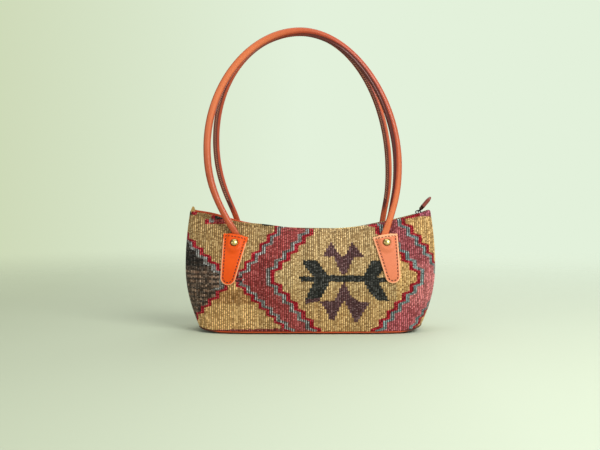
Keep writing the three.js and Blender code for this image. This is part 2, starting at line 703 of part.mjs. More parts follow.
function handleRings(side, form, radius, endInset) {
  const path = handleLoop(form);
  const length = path.getLength();
  const { start, rise } = handlePlane(side);
  const lay = (flat) =>
    new THREE.Vector3(flat.x, start.x + rise.x * flat.y, start.y + rise.y * flat.y);
  const planeNormal = new THREE.Vector3(0, -rise.y, rise.x).normalize();
  const flatShare = HANDLE_FLAT / HANDLE_DIAMETER;
  const rings = [];
  for (let k = 0; k <= HANDLE_STEPS; k += 1) {
    const share = mix(endInset / length, 1 - endInset / length, k / HANDLE_STEPS);
    const middle = lay(path.getPointAt(share));
    const tangent = path.getTangentAt(share);
    const fromEnd = Math.min(share, 1 - share) * length;
    const roundness = Math.min(1, fromEnd / HANDLE_FLAT_LENGTH);
    const flatness = mix(flatShare, 1, roundness);
    const footEdge = new THREE.Vector2(share < 0.5 ? tabAxis.y : -tabAxis.y, tabAxis.x);
    const across = new THREE.Vector2(-tangent.y, tangent.x).lerp(footEdge, 1 - roundness);
    const outward = new THREE.Vector3(across.x, across.y * rise.x, across.y * rise.y).normalize();
    const ring = [];
    for (let i = 0; i < HANDLE_SIDES; i += 1) {
      const turn = ((i + 0.5) / HANDLE_SIDES) * 2 * Math.PI;
      ring.push(middle.clone()
        .addScaledVector(outward, radius * Math.cos(turn))
        .addScaledVector(planeNormal, radius * flatness * Math.sin(turn)));
    }
    rings.push(ring);
  }
  return rings;
}

// A sleeve is open at both ends, round its core
function sleeveSolid(outer, inner) {
  const count = outer[0].length;
  const rings = [...outer, ...inner.toReversed()];
  const points = rings.flat();
  const triangles = [];
  for (let k = 0; k < rings.length; k += 1) {
    const here = k * count;
    const there = ((k + 1) % rings.length) * count;
    for (let i = 0; i < count; i += 1) {
      const next = (i + 1) % count;
      triangles.push(...quad(here + i, here + next, there + next, there + i));
    }
  }
  return geometryFrom(points, triangles);
}

function addHandle(side, name, form) {
  const radius = HANDLE_DIAMETER / 2;
  const bore = radius - HANDLE_WALL;
  const sleeve = sleeveSolid(handleRings(side, form, radius, 0), handleRings(side, form, bore, 0));
  addPiece(`${name}_handle`, sleeve, leather());
  const core = ringSolid(handleRings(side, form, bore - HANDLE_CORE_ROOM, HANDLE_FLAT_LENGTH));
  addPiece(`${name}_handle_core`, core, cord());
}

// Assembly
addPiece('base_panel', basePanelGeometry(), leather());
addPiece('base_board', baseBoardGeometry(), board());
addPiece('lining', liningGeometry(), cotton());

for (const [side, sideName, handleForm] of [[FRONT, 'front', FRONT_HANDLE], [BACK, 'back', BACK_HANDLE]]) {
  const holes = [-1, 1].map((hand) => rivetHole(side, hand));
  addPiece(`${sideName}_panel`, cutAway(panelGeometry(side), holes), kilim());
  addPiece(`${sideName}_zip_strip`, stripGeometry(side), leather());
  addPiece(`${sideName}_zip_tape`, tapeGeometry(side), tapeCloth());
  addPiece(`${sideName}_zip_teeth`, teethGeometry(side), brass());
  addPiece(`${sideName}_zip_top_stop`, topStopGeometry(side), brass());
  addHandle(side, sideName, handleForm);
  for (const [hand, handName] of [[-1, 'left'], [1, 'right']]) {
    const place = `${sideName}_${handName}`;
    const hole = [rivetHole(side, hand)];
    addPiece(`${place}_tab`, cutAway(tabGeometry(side, hand), hole), leather());
    addPiece(`${place}_handle_end`, cutAway(handleEndGeometry(side, hand), hole), leather());
    const seat = new THREE.Group();
    seat.applyMatrix4(rivetFrame(side, hand));
    bag.add(seat);
    addPiece(`${place}_rivet`, rivetGeometry(), brass(), seat);
    addPiece(`${place}_rivet_back`, rivetBackGeometry(), brass(), seat);
  }
}

addPiece('zip_end_stop', endStopGeometry(), brass());

const sliderSeat = new THREE.Group();
sliderSeat.position.copy(zipPoint(turnAt(sliderRestX), 0, 0));
sliderSeat.rotation.y = -turnAt(sliderRestX);
bag.add(sliderSeat);
addPiece('zip_slider', sliderGeometry(), brass(), sliderSeat);

const pullSeat = new THREE.Group();
pullSeat.position.z = pivotLift;
pullSeat.rotation.y = turnAt(sliderRestX) - THREE.MathUtils.degToRad(PULL_TILT);
sliderSeat.add(pullSeat);
addPiece('zip_pull_link', linkGeometry(), brass(), pullSeat);
addPiece('zip_pull_tab', pullGeometry(), leather(), pullSeat);

export default bag;
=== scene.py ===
# Looks of the kilim baguette bag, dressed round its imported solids.
# Sizes are millimetres, as in the part's own source, until a mesh is made. X runs along the bag, the front
# faces -Y, Z is up, and the origin is under the middle of the base.
import json
import math

import bmesh
import bpy
import numpy as np
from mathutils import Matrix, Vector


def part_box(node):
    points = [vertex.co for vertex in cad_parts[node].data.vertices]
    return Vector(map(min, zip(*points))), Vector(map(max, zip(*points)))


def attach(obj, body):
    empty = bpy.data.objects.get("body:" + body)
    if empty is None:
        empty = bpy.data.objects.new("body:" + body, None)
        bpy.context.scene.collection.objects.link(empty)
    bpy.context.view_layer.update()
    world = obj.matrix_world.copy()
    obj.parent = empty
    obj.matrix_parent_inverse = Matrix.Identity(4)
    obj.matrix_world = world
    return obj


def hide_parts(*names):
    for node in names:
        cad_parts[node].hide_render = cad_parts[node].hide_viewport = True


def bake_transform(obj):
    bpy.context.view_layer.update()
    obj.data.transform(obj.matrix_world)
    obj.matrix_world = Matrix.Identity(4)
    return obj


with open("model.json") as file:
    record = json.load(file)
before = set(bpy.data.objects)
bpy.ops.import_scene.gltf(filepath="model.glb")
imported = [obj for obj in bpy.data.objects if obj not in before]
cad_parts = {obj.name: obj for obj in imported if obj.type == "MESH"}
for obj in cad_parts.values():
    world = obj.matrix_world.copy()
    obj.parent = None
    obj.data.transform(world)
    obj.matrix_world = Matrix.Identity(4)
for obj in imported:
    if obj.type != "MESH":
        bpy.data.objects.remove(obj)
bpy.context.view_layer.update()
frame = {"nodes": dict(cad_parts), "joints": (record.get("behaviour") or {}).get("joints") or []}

MM = 0.001
MERGE = 0.002  # points nearer than this are one
FRONT = -1
BACK = 1
LEFT = -1
RIGHT = 1
SIDES = {"front": FRONT, "back": BACK}
HANDS = {"left": LEFT, "right": RIGHT}

# Bag body
GAP = 0.3
WIDEST_HALF_LENGTH = 150
WIDEST_HEIGHT = 75
BASE_HALF_LENGTH = 132.5
MOUTH_HALF_LENGTH = 145
BASE_HALF_DEPTH = 44
BELLY_HALF_DEPTH = 45
BELLY_SHARE = 0.38
MOUTH_HALF_DEPTH = 11.3
MOUTH_CENTRE_HEIGHT = 121
MOUTH_END_HEIGHT = 143
FRONT_EDGE_DROP = 3
BASE_SQUARENESS = 2.8
FOOT_SQUARING = 1.4  # added at the foot, where the base board holds the cloth out
FOOT_SHARE = 0.25
END_LIFT_LEFT = 3.8  # the soft foot turns up this far at its left end
END_LIFT_RIGHT = 6.5
END_LIFT_START = 104
END_LIFT_HEIGHT = 48
MOUTH_SQUARENESS = 5
LOW_END_CURVE = 2
HIGH_END_CURVE = 2
LOW_BELLY_CURVE = 2
HIGH_BELLY_CURVE = 1.8
END_TUCK = 0.9  # the cloth draws in this far at the side seams
EDGE_COVER = 0.4  # the kilim's top edge stands this far above the mouth's line
FRONT_SWELLS = [(4.8, -118, 30), (2.2, -60, 34)]  # rise, place and spread of swells in the front edge
EDGE_DIP = (1.8, 46, 28)  # a dip in both edges, in the same way
BARE_STRIP = 3.3  # how far the front edge sits below its zip strip, towards the left
BARE_START = -48
BARE_FADE = 60
BASE_THICKNESS = 3.3
BOARD_THICKNESS = 2
BASE_BEAD = 2.8  # top of the leather edge that shows under the kilim
BEAD_FOOT = 1.4
BEAD_STAND = 0.2  # the leather edge stands out past the kilim this far
BEAD_TUCK = 0.4  # and is tucked in this far where it starts and ends
BASE_TURN_INSET = 4.0  # where the base starts to turn up to its edge
BEAD_BACK_INSET = 3.4  # where the edge ends behind the kilim
BASE_TOP_INSET = 3.6
BASE_SHADE_START = 100  # painted shade: the base is painted dark towards its ends
BASE_SHADE_FADE = 22
FLOOR_INSETS = [31, 18.0, 9.0]  # rings across the floor, which is level inside the first
BOARD_EASE = 0.4
PANEL_FOOT = BASE_THICKNESS + GAP
KILIM_THICKNESS = 2.5
STRIP_INSET = 3.1
STRIP_THICKNESS = 1.6
STRIP_DEPTH = 9
STRIP_SINK = 0.7  # it lies this far below the mouth where the kilim covers it
LINING_INSET = 5.0
LINING_THICKNESS = 0.6
LINING_FOOT = 5.9
LINING_SINK = 4.6
LINING_ROWS = 22
MOUTH_RISE = MOUTH_END_HEIGHT - MOUTH_CENTRE_HEIGHT
ZIP_RADIUS = (MOUTH_RISE**2 + MOUTH_HALF_LENGTH**2) / (2 * MOUTH_RISE)
ZIP_CENTRE_HEIGHT = MOUTH_CENTRE_HEIGHT + ZIP_RADIUS

# Kilim weave
RIB_PITCH = 2.45
RIB_COUNT = 143
RIB_SAMPLES = 4
PANEL_ROWS = 137
RIB_RELIEF = 0.45
KNOT_HEIGHT = 1.5  # of the bundles of weft that show on each rib
EDGE_ROLL = 1.25
EDGE_THICKNESS = EDGE_ROLL + RIB_RELIEF + 0.1  # of the cloth at its borders
FOLD_ROWS = [0, 0.12, 0.4, 0.8, EDGE_ROLL]  # close rows where the cloth rolls over its edges
INNER_ROW_STEP = 4  # rows of the outer face for one of the inner
ARC_HEIGHT = 60  # height at which places across the cloth are measured
UPRIGHT_REACH = 100  # the ribs stand upright as far as this from the middle
BACK_SHIFT = 39.5  # puts the figure in the middle of the back panel

# Stitches: length, width and height of one, and the spacing of a row
EDGE_STITCH = (2.4, 0.8, 0.7)
EDGE_STITCH_SPACING = 4.2
EDGE_STITCH_DROP = 3.4  # below the kilim's top edge
EDGE_STITCH_REACH = 0.86  # the row ends short of the side seams
TAPE_STITCH = (2.2, 0.6, 0.5)
TAPE_STITCH_SPACING = 3.4
PULL_STITCH = (1.7, 0.55, 0.4)
PULL_STITCH_SPACING = 2.4
TAB_STITCH = (2.9, 1.25, 0.8)
TAB_STITCH_SPACING = 4.0
HANDLE_STITCH = (3.4, 0.9, 0.55)
HANDLE_STITCH_SPACING = 2.7
HANDLE_STITCH_TURN = math.radians(38)
STITCH_SINK = 0.15  # how far thread is drawn into the kilim and the tabs
FINE_STITCH_SINK = 0.1  # and into the tape and the pull

# Tabs and rivets
TAB_SPREAD_TOP = 88
TAB_SPREAD_FOOT = 97
TAB_TOP_HEIGHT = 113
TAB_FOOT_HEIGHT = 57
TAB_TOP_WIDTH = 29.5
TAB_FOOT_WIDTH = 16
TAB_THICKNESS = 2.2
TAB_EDGE = 0.8
TAB_CORNER = 1.6
TAB_STRETCH = {LEFT: 1.0, RIGHT: 0.96}  # the right tabs are a little shorter
TAB_AXIS = np.array([TAB_SPREAD_FOOT - TAB_SPREAD_TOP, TAB_FOOT_HEIGHT - TAB_TOP_HEIGHT], float)
TAB_LENGTH = float(np.hypot(*TAB_AXIS))
TAB_AXIS = TAB_AXIS / TAB_LENGTH
TAB_FOOT_RADIUS = TAB_FOOT_WIDTH / 2 + 0.9
TAB_FOOT_START = TAB_LENGTH - TAB_FOOT_RADIUS
TAB_TOP_ROWS = [0, 0.1, 0.35, 0.8, 1.3, 2.0]  # close rows at the rounded top edge
TAB_PAINTED_HIGHLIGHT = {LEFT: 0.0, RIGHT: 0.85}  # the right tabs are painted paler, a painted highlight of the light from the right
POCKET_LIFT = 2.3
POCKET_HALF_WIDTH = 6
POCKET_LENGTH = 16.5
POCKET_RAMP = 6
SEAM_INSET = 3.0
RIM_PALE = 0.8  # the tabs' rims are rubbed pale this far in, and then fade
RIM_FADE = 1.1
RIM_RUB_AND_HIGHLIGHT = {LEFT: (0.2, 0.62), RIGHT: (1.0, 1.0)}  # how pale, at the top of a tab and below it: rims rubbed pale, and paler on the right tabs as a painted highlight
RIM_RUB_START = 3
RIM_RUB_FADE = 5
GROOVE_DEPTH = 0.3  # the stitches press a groove into the tab
GROOVE_WIDTH = 0.55
GROOVE_MARK = 0.3  # the groove shows a little pale
GROOVE_MARK_WIDTH = 0.7
DIMPLE_DEPTH = 0.35  # the leather is pressed in round the rivet
DIMPLE_SPREAD = 6
RIVET_DROP = 9.5
RIVET_RADIUS = 4.6
RIVET_DOME = 2.9
RIVET_SEAT = 5.1
RIVET_REACH = 3.8
RIVET_POST_RADIUS = 1.5
RIVET_LIP = 0.4  # half the height of the cap's rim
NEEDLE = 0.001  # radius that stands for a point

# Handles
HANDLE_TOP_HEIGHT = 356
HANDLE_FOOT_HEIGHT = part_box("front_handle")[0].z / MM
HANDLE_TOP_SPREAD = 5.05  # keeps the back handle's stitches clear of the front one
HANDLE_FLAT_SHARE = 0.4
HANDLE_FLAT_LENGTH = 16
HANDLE_END_LENGTH = 16
HANDLE_END_SHARE = 0.2
HANDLE_END_THICKNESS = 2
HANDLE_END_ROWS = 9
HANDLE_RINGS = 281
ROLL_FOOT_SHARE = 0.88  # the roll is thinner at its feet
ROLL_START = 25
ROLL_FADE = 60
HANDLE_FOOT_SPREAD = 1.22
FLANGE_RISE = 1.3  # the sewn edge stands this far out of the roll
FLANGE_HALF_THICKNESS = 2.0
FLANGE_CLOSED = 0.15  # its rise where it is pressed flat, at the feet
FLANGE_START = 14
FLANGE_FADE = 30
FLANGE_SEWN = 0.98  # stitches run where the edge has risen to this share
PAINT_FADE = 0.3  # the dark paint fades over this turn round the roll
HIGHLIGHT_CLEAR_FADE = 0.6  # and the painted highlight starts over this one
HIGHLIGHT_FACING_START = 0.3  # the roll is painted paler where it faces the front or back, a painted highlight
HIGHLIGHT_FACING_FADE = 0.55

# Forms of the handles, whose lists run from the left foot to the right one
FRONT_HANDLE = {
    "left": {"half_width": 122.2, "height": 218, "lean": 33, "pull": 44, "wide_pull": 38.5, "arch": 0.535},
    "right": {"half_width": 103.8, "height": 196.5, "lean": 19, "pull": 36, "wide_pull": 31, "arch": 0.511},
    "top_x": -12.3,
    "radius": 4.4,
    "painted_turn": 1.05,  # the dark paint runs this far round from the seam: paint on the sewn edge, and painted shade on the roll beside it
    "paint": [1, 1, 1, 0.3, 0.55, 1, 1, 1, 1],  # how thick it is
    "highlight_share": [0.3, 0.35, 0.9, 1.2, 0.45, 0.12, 0.3, 0.6, 1.2],  # how strong the painted highlight is along the handle
    # places along the handle, and the seam's turns there in degrees from the loop's inside towards the viewer
    "seam": ([0, 0.3, 0.44, 0.52, 0.6, 0.72, 0.82, 0.92, 1], [-110, -95, -45, 0, 35, 30, 15, -15, -50]),
}
BACK_HANDLE = {
    "left": {"half_width": 114.3, "height": 226.5, "lean": -6, "pull": 23.5, "wide_pull": 62, "arch": 0.575},
    "right": {"half_width": 96.1, "height": 187.5, "lean": 4, "pull": 31, "wide_pull": 34, "arch": 0.548},
    "top_x": -11,
    "radius": 3.95,
    "painted_turn": 0.6,
    "paint": [1],
    "highlight_share": [0.1, 0.25, 0.4, 0.4, 0.4, 0.6, 0.8, 0.7, 0.4],
    "seam": ([0, 0.4, 0.5, 0.6, 1], [98, 104, 90, 68, 62]),
}

# Zip
TAPE_INNER = 2.5
TAPE_TOP = -1.7
TAPE_THICKNESS = 0.7
TAPE_SAG = 0.35
TAPE_SEAM_INSET = 1.0
TAPE_SEAM_END = 8  # the seam stops this far short of the tape's ends
STOP_X = 139.5
TEETH_END_X = 134.5
TAIL_MIDDLE = -140.2  # the tape's folded end, at the left of the zip
TAIL_HALF_WIDTH = 2.4
TAIL_FOOT = 139.6
TAIL_TOP = 147.6
TAIL_DEPTH = -6.4
TAIL_THICKNESS = 1.2
TAIL_NARROWING = 0.45  # it narrows by this share, from this share of its height
TAIL_NARROW_START = 0.55
TAIL_CROWN = 0.12  # how round its top is
TAIL_BOW = 0.2
TAIL_ROUNDING = 0.4
TEETH_FOOT = -3.3
TEETH_TOP = -0.8
TEETH_OUTER = 2.6
TOOTH_SPACING = 2.4
TOOTH_HALF_OUTLINE = [(0.8, 0.0), (0.8, 1.1), (0.5, 1.6), (0.55, 2.25)]  # from the clamp to the head
PULL_TILT = math.radians(50)
PULL_START = 6.3  # from the pivot to the pull's shoulder
PULL_TIP = 23.3
PULL_WIDTH = 9
PULL_THICKNESS = 4.2
PULL_SHOULDER = 2.7
PULL_TONGUE = 2.1
PULL_TONGUE_START = 3.7
PULL_SHOULDER_LEAD = 0.4  # the tongue widens from this far before the shoulder
PULL_THINNING = 0.45  # the pull thins by this share over this length at its tip
PULL_THIN_LENGTH = 6
PULL_EDGE = 1.1
PULL_SEAM_INSET = 1.4
PULL_GROOVE_DEPTH = 0.2
PULL_GROOVE_WIDTH = 0.4
PULL_DARK_LENGTH = 3  # its root is dark, and pales over this length

# Camera, worked out from the photograph
CAMERA_PLACE = (-12.3, -1036, 166)
CAMERA_PITCH = math.radians(2.26)
CAMERA_LENS = 51.6
CAMERA_SENSOR = 36


# The bag's surface
def half_length(z):
    below = np.clip((WIDEST_HEIGHT - z) / WIDEST_HEIGHT, 0, None)
    above = np.clip((z - WIDEST_HEIGHT) / (MOUTH_END_HEIGHT - WIDEST_HEIGHT), 0, None)
    low = (WIDEST_HALF_LENGTH - BASE_HALF_LENGTH) * below**LOW_END_CURVE
    high = (WIDEST_HALF_LENGTH - MOUTH_HALF_LENGTH) * above**HIGH_END_CURVE
    return WIDEST_HALF_LENGTH - END_TUCK - low - high


def half_depth(share):
    below = np.clip((BELLY_SHARE - share) / BELLY_SHARE, 0, None)
    above = np.clip((np.minimum(share, 1) - BELLY_SHARE) / (1 - BELLY_SHARE), 0, None)
    low = (BELLY_HALF_DEPTH - BASE_HALF_DEPTH) * below**LOW_BELLY_CURVE
    high = (BELLY_HALF_DEPTH - MOUTH_HALF_DEPTH) * above**HIGH_BELLY_CURVE
    return BELLY_HALF_DEPTH - low - high


def mouth_line(reach, inset=0.0):
    """Height of the mouth, where reach runs from -1 at the left seam to 1 at the right seam."""
    x = reach * (MOUTH_HALF_LENGTH - inset)
    return ZIP_CENTRE_HEIGHT - np.sqrt(ZIP_RADIUS**2 - x**2)


def edge_height(side, reach):
    drop = FRONT_EDGE_DROP * np.maximum(0, -reach) if side == FRONT else 0
    return mouth_line(reach) - drop


def edge_sway(side, x):
    """How far the soft top edges stray from the zip's arc."""
    swells = FRONT_SWELLS if side == FRONT else []
    rise, place, spread = EDGE_DIP
    raised = sum(height * bell(x - middle, width) for height, middle, width in swells)
    return raised - rise * bell(x - place, spread)


def bare_strip(side, x):
    """How far the front panel's edge sits below the zip strip, towards the left."""
    return BARE_STRIP * smooth((BARE_START - x) / BARE_FADE) if side == FRONT else 0 * x


def kilim_top(side, reach):
    x = reach * MOUTH_HALF_LENGTH
    return mouth_line(reach) + edge_sway(side, x) - bare_strip(side, x) + EDGE_COVER


def end_lift(x, z):
    """How far the soft foot turns up towards its ends."""
    most = np.where(x < 0, END_LIFT_LEFT, END_LIFT_RIGHT)
    outward = np.clip((np.abs(x) - END_LIFT_START) / (BASE_HALF_LENGTH - END_LIFT_START), 0, 1)
    return most * outward**2 * np.clip(1 - z / END_LIFT_HEIGHT, 0, 1) ** 2


def wall(side, reach, z, inset=0.0):
    """Points of the wall, inset from its outer face."""
    reach, z, inset = np.broadcast_arrays(np.asarray(reach, float), np.asarray(z, float), inset)
    share = (z - PANEL_FOOT) / (edge_height(side, reach) - PANEL_FOOT)
    height = np.clip(share, 0, 1)
    squaring = FOOT_SQUARING * np.maximum(0, 1 - height / FOOT_SHARE) ** 2
    squareness = BASE_SQUARENESS + (MOUTH_SQUARENESS - BASE_SQUARENESS) * height + squaring
    plan = (1 - np.minimum(1, np.abs(reach)) ** squareness) ** (1 / squareness)
    depth = (half_depth(share) - inset) * plan
    x = (half_length(z) - inset) * reach
    return np.stack([x, side * (depth + GAP / 2), z + end_lift(x, z)], axis=-1)


def wall_over(side, x, z, inset=0.0):
    return wall(side, x / (half_length(z) - inset), z, inset)


def wall_normal(side, x, z):
    """Ways out of the wall, by the slope between neighbouring places."""
    step = 0.5
    across = wall_over(side, x + step, z) - wall_over(side, x - step, z)
    up = wall_over(side, x, z + step) - wall_over(side, x, z - step)
    return unit_rows(-side * np.cross(across, up))


def on_wall(side, x, z, lift):
    """Points lifted off the wall's outer face."""
    x, z, lift = np.broadcast_arrays(np.asarray(x, float), np.asarray(z, float), lift)
    return wall_over(side, x, z) + wall_normal(side, x, z) * lift[..., None]


def mix(a, b, share):
    return a + (b - a) * share


def smooth(share):
    share = np.clip(share, 0, 1)
    return share * share * (3 - 2 * share)


def bell(offset, spread):
    """1 in the middle, falling away on both sides over a spread."""
    return np.exp(-((offset / spread) ** 2))


def crowded(count, limit=1.0):
    """Places from -1 to 1, or a part of that, set closer together towards its ends."""
    return np.sin(np.linspace(-limit, limit, count) * math.pi / 2)


def full_turn(count):
    return np.linspace(0, 2 * math.pi, count, endpoint=False)


def unit_rows(vectors):
    return vectors / np.linalg.norm(vectors, axis=-1, keepdims=True)


def rolled(distance, radius):
    """How far a rounded edge falls away at a distance from its border."""
    remaining = radius - np.clip(distance, 0, radius)
    return radius - np.sqrt(radius**2 - remaining**2)


# Meshes
def face_outwards(mesh, merge=0.0):
    """Joins points nearer than a length, and turns every face outwards."""
    work = bmesh.new()
    work.from_mesh(mesh)
    if merge:
        bmesh.ops.remove_doubles(work, verts=work.verts, dist=merge * MM)
    bmesh.ops.recalc_face_normals(work, faces=work.faces)
    work.to_mesh(mesh)
    work.free()


def shade_smooth(mesh):
    mesh.polygons.foreach_set("use_smooth", np.ones(len(mesh.polygons), bool))


def make_mesh(name, points, faces, finish, merge=0.0):
    mesh = bpy.data.meshes.new(name)
    mesh.from_pydata((np.asarray(points).reshape(-1, 3) * MM).tolist(), [], faces)
    face_outwards(mesh, merge)
    shade_smooth(mesh)
    mesh.materials.append(finish)
    mesh.update()
    return mesh


def mesh_points(mesh):
    """The points of a mesh, in millimetres."""
    places = np.zeros(len(mesh.vertices) * 3)
    mesh.vertices.foreach_get("co", places)
    return places.reshape(-1, 3) / MM


def show(name, mesh):
    piece = bpy.data.objects.new(name, mesh)
    bpy.context.scene.collection.objects.link(piece)
    return piece


def keep_shape(piece):
    """What a piece's modifiers make becomes its own mesh."""
    depsgraph = bpy.context.evaluated_depsgraph_get()
    made = bpy.data.meshes.new_from_object(piece.evaluated_get(depsgraph), depsgraph=depsgraph)
    piece.modifiers.clear()
    piece.data = made
    return made


def round_edges(piece, width, least_turn):
    """Rounds the edges where a piece turns by at least so many degrees."""
    rounding = piece.modifiers.new("edges", "BEVEL")
    rounding.width = width * MM
    rounding.segments = 3
    rounding.limit_method = "ANGLE"
    rounding.angle_limit = math.radians(least_turn)
    return keep_shape(piece)


def dress(piece, body, slot, *nodes):
    """The piece moves with a body and stands for CAD nodes, which are hidden. Its slot is not used."""
    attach(piece, body)
    if nodes:
        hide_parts(*nodes)
    return piece


def paint(mesh, name, values):
    """A value for each point, which a finish reads by name."""
    layer = mesh.attributes.new(name, "FLOAT", "POINT")
    layer.data.foreach_set("value", np.asarray(values, np.float32).ravel())


def grid_faces(rows, columns, start=0):
    index = start + np.arange(rows * columns).reshape(rows, columns)
    corners = [index[:-1, :-1], index[:-1, 1:], index[1:, 1:], index[1:, :-1]]
    return np.stack(corners, axis=-1).reshape(-1, 4).tolist()


def border(rows, columns):
    """The points round a grid, in order."""
    index = np.arange(rows * columns).reshape(rows, columns)
    return np.concatenate([index[0, :-1], index[:-1, -1], index[-1, :0:-1], index[:0:-1, 0]])


def shell(name, outer, inner, finish, merge=0.0):
    """A closed sheet between two grids of points of one size."""
    rows, columns = outer.shape[:2]
    count = rows * columns
    rim = border(rows, columns)
    around = np.roll(rim, -1)
    faces = grid_faces(rows, columns) + grid_faces(rows, columns, count)
    faces += np.stack([rim, around, around + count, rim + count], axis=-1).tolist()
    points = np.concatenate([outer.reshape(-1, 3), inner.reshape(-1, 3)])
    return make_mesh(name, points, faces, finish, merge)


def tube(name, rings, finish):
    """Rings of points joined one after another, with a face at both ends."""
    count, sides = rings.shape[:2]
    index = np.arange(count * sides).reshape(count, sides)
    turned = np.roll(index, -1, axis=1)
    quads = np.stack([index[:-1], turned[:-1], turned[1:], index[1:]], axis=-1)
    faces = quads.reshape(-1, 4).tolist() + [index[0].tolist(), index[-1].tolist()]
    return make_mesh(name, rings, faces, finish)


# What repeats along a path
def repeat_tree():
    """Sets copies of a unit along a path, turned with it and with its outward ways."""
    tree = bpy.data.node_groups.new("repeat_along_path", "GeometryNodeTree")
    sockets = tree.interface
    sockets.new_socket("Path", in_out="INPUT", socket_type="NodeSocketGeometry")
    sockets.new_socket("Unit", in_out="INPUT", socket_type="NodeSocketObject")
    sockets.new_socket("Spacing", in_out="INPUT", socket_type="NodeSocketFloat")
    sockets.new_socket("Finish", in_out="INPUT", socket_type="NodeSocketMaterial")
    sockets.new_socket("Geometry", in_out="OUTPUT", socket_type="NodeSocketGeometry")
    given = node(tree, "NodeGroupInput").outputs
    line = node(tree, "GeometryNodeMeshToCurve", {"Mesh": given["Path"]}).outputs["Curve"]
    even = node(tree, "GeometryNodeResampleCurve", {"Curve": line, "Length": given["Spacing"]}, mode="LENGTH")
    out = node(tree, "GeometryNodeInputNamedAttribute", {"Name": "out"}, data_type="FLOAT_VECTOR")
    along = node(tree, "GeometryNodeInputTangent")
    axes = {"Primary Axis": along.outputs["Tangent"], "Secondary Axis": out.outputs["Attribute"]}
    turn = node(tree, "FunctionNodeAxesToRotation", axes, primary_axis="X", secondary_axis="Z")
    unit = node(tree, "GeometryNodeObjectInfo", {"Object": given["Unit"], "As Instance": True})
    copies = {
        "Points": even.outputs["Curve"],
        "Instance": unit.outputs["Geometry"],
        "Rotation": turn.outputs["Rotation"],
    }
    placed = node(tree, "GeometryNodeInstanceOnPoints", copies)
    real = node(tree, "GeometryNodeRealizeInstances", {"Geometry": placed.outputs["Instances"]})
    finish = {"Geometry": real.outputs["Geometry"], "Material": given["Finish"]}
    done = node(tree, "GeometryNodeSetMaterial", finish)
    node(tree, "NodeGroupOutput", {"Geometry": done.outputs["Geometry"]})
    return tree


def feed(tree, socket, value):
    """Links a socket to another node's output, or sets its value."""
    if isinstance(value, bpy.types.NodeSocket):
        tree.links.new(value, socket)
    else:
        socket.default_value = value


def node(tree, kind, inputs=None, **settings):
    """A new node, with its inputs fed by name."""
    made = tree.nodes.new(kind)
    for key, value in settings.items():
        setattr(made, key, value)
    for key, value in (inputs or {}).items():
        feed(tree, made.inputs[key], value)
    return made


REPEAT = repeat_tree()


def repeated(name, paths, unit, spacing, finish):
    """Copies of a small unit along paths. A path is points, their outward ways, and whether it closes."""
    points = np.concatenate([line for line, out, closed in paths])
    outs = np.concatenate([out for line, out, closed in paths])
    edges = []
    start = 0
    for line, out, closed in paths:
        index = start + np.arange(len(line))
        pairs = np.stack([index[:-1], index[1:]], axis=-1).tolist()
        edges += pairs + ([[int(index[-1]), int(index[0])]] if closed else [])
        start += len(line)
    mesh = bpy.data.meshes.new(name)
    mesh.from_pydata((points * MM).tolist(), edges, [])
    layer = mesh.attributes.new("out", "FLOAT_VECTOR", "POINT")
    layer.data.foreach_set("vector", outs.astype(np.float32).ravel())
    carrier = show(name, mesh)
    seed = show(name + "_unit", unit)
    modifier = carrier.modifiers.new("repeat", "NODES")
    modifier.node_group = REPEAT
    values = {"Unit": seed, "Spacing": spacing * MM, "Finish": finish}
    for item in REPEAT.interface.items_tree:
        if item.name in values:
            modifier[item.identifier] = values[item.name]
    made = keep_shape(carrier)
    bpy.data.objects.remove(seed)
    if "out" in made.attributes:
        made.attributes.remove(made.attributes["out"])
    shade_smooth(made)
    return carrier


def stitch_unit(length, width, height, turn=0.0):
    """One stitch: a plump oval along X, or turned from it, half sunk in what it sews."""
    work = bmesh.new()
    bmesh.ops.create_uvsphere(work, u_segments=8, v_segments=6, radius=0.5)
    for vertex in work.verts:
        x, y, z = vertex.co
        along = z * length * MM
        aside = y * width * MM
        ahead = math.cos(turn) * along - math.sin(turn) * aside
        across = math.sin(turn) * along + math.cos(turn) * aside
        vertex.co = (ahead, across, x * height * MM)
    bmesh.ops.recalc_face_normals(work, faces=work.faces)
    mesh = bpy.data.meshes.new("stitch")
    work.to_mesh(mesh)
    work.free()
    return mesh


def softened(name, source, width, finish):
    """A copy of a CAD node with its facets merged and its edges rounded."""
    mesh = frame["nodes"][source].data.copy()
    mesh.materials.clear()
    mesh.materials.append(finish)
    work = bmesh.new()
    work.from_mesh(mesh)
    bmesh.ops.remove_doubles(work, verts=work.verts, dist=0.001 * MM)
    bmesh.ops.dissolve_limit(work, angle_limit=math.radians(2), verts=work.verts, edges=work.edges)
    work.to_mesh(mesh)
    work.free()
    piece = show(name, mesh)
    made = round_edges(piece, width, 25)
    shade_smooth(made)
    made.set_sharp_from_angle(angle=math.radians(35))
    return piece


# Colours
def linear(red, green, blue):
    """A colour as a screen has it, from 0 to 255, turned into shares of light."""
    share = np.array([red, green, blue]) / 255
    return np.where(share <= 0.04045, share / 12.92, ((share + 0.055) / 1.055) ** 2.4)


def rgba(red, green, blue):
    return (*linear(red, green, blue), 1.0)


# Finishes. Lengths in bumped() and pitches are millimetres, and the scales of noise are counts in a metre.
HOLLOWS_MADE_UP = 1.31  # makes up for the light that is lost between the ribs
SHADED_WOOL = (1.0, 0.88, 0.8, 1.0)  # painted shade: the wool is warmer and darker where it lies deep between the ribs, and in its darker knots
LOOSE_FIBRE = (1.0, 0.9, 0.8)
BRASS_HOLLOW = (70, 42, 20)


def new_finish(name):
    finish = bpy.data.materials.new(name)
    finish.use_nodes = True
    tree = finish.node_tree
    shader = tree.nodes["Principled BSDF"]
    return finish, tree, shader


def settle(shader, **values):
    """Sets a shader's sockets by their names."""
    for key, value in values.items():
        shader.inputs[key.replace("_", " ").title().replace("Ior", "IOR")].default_value = value


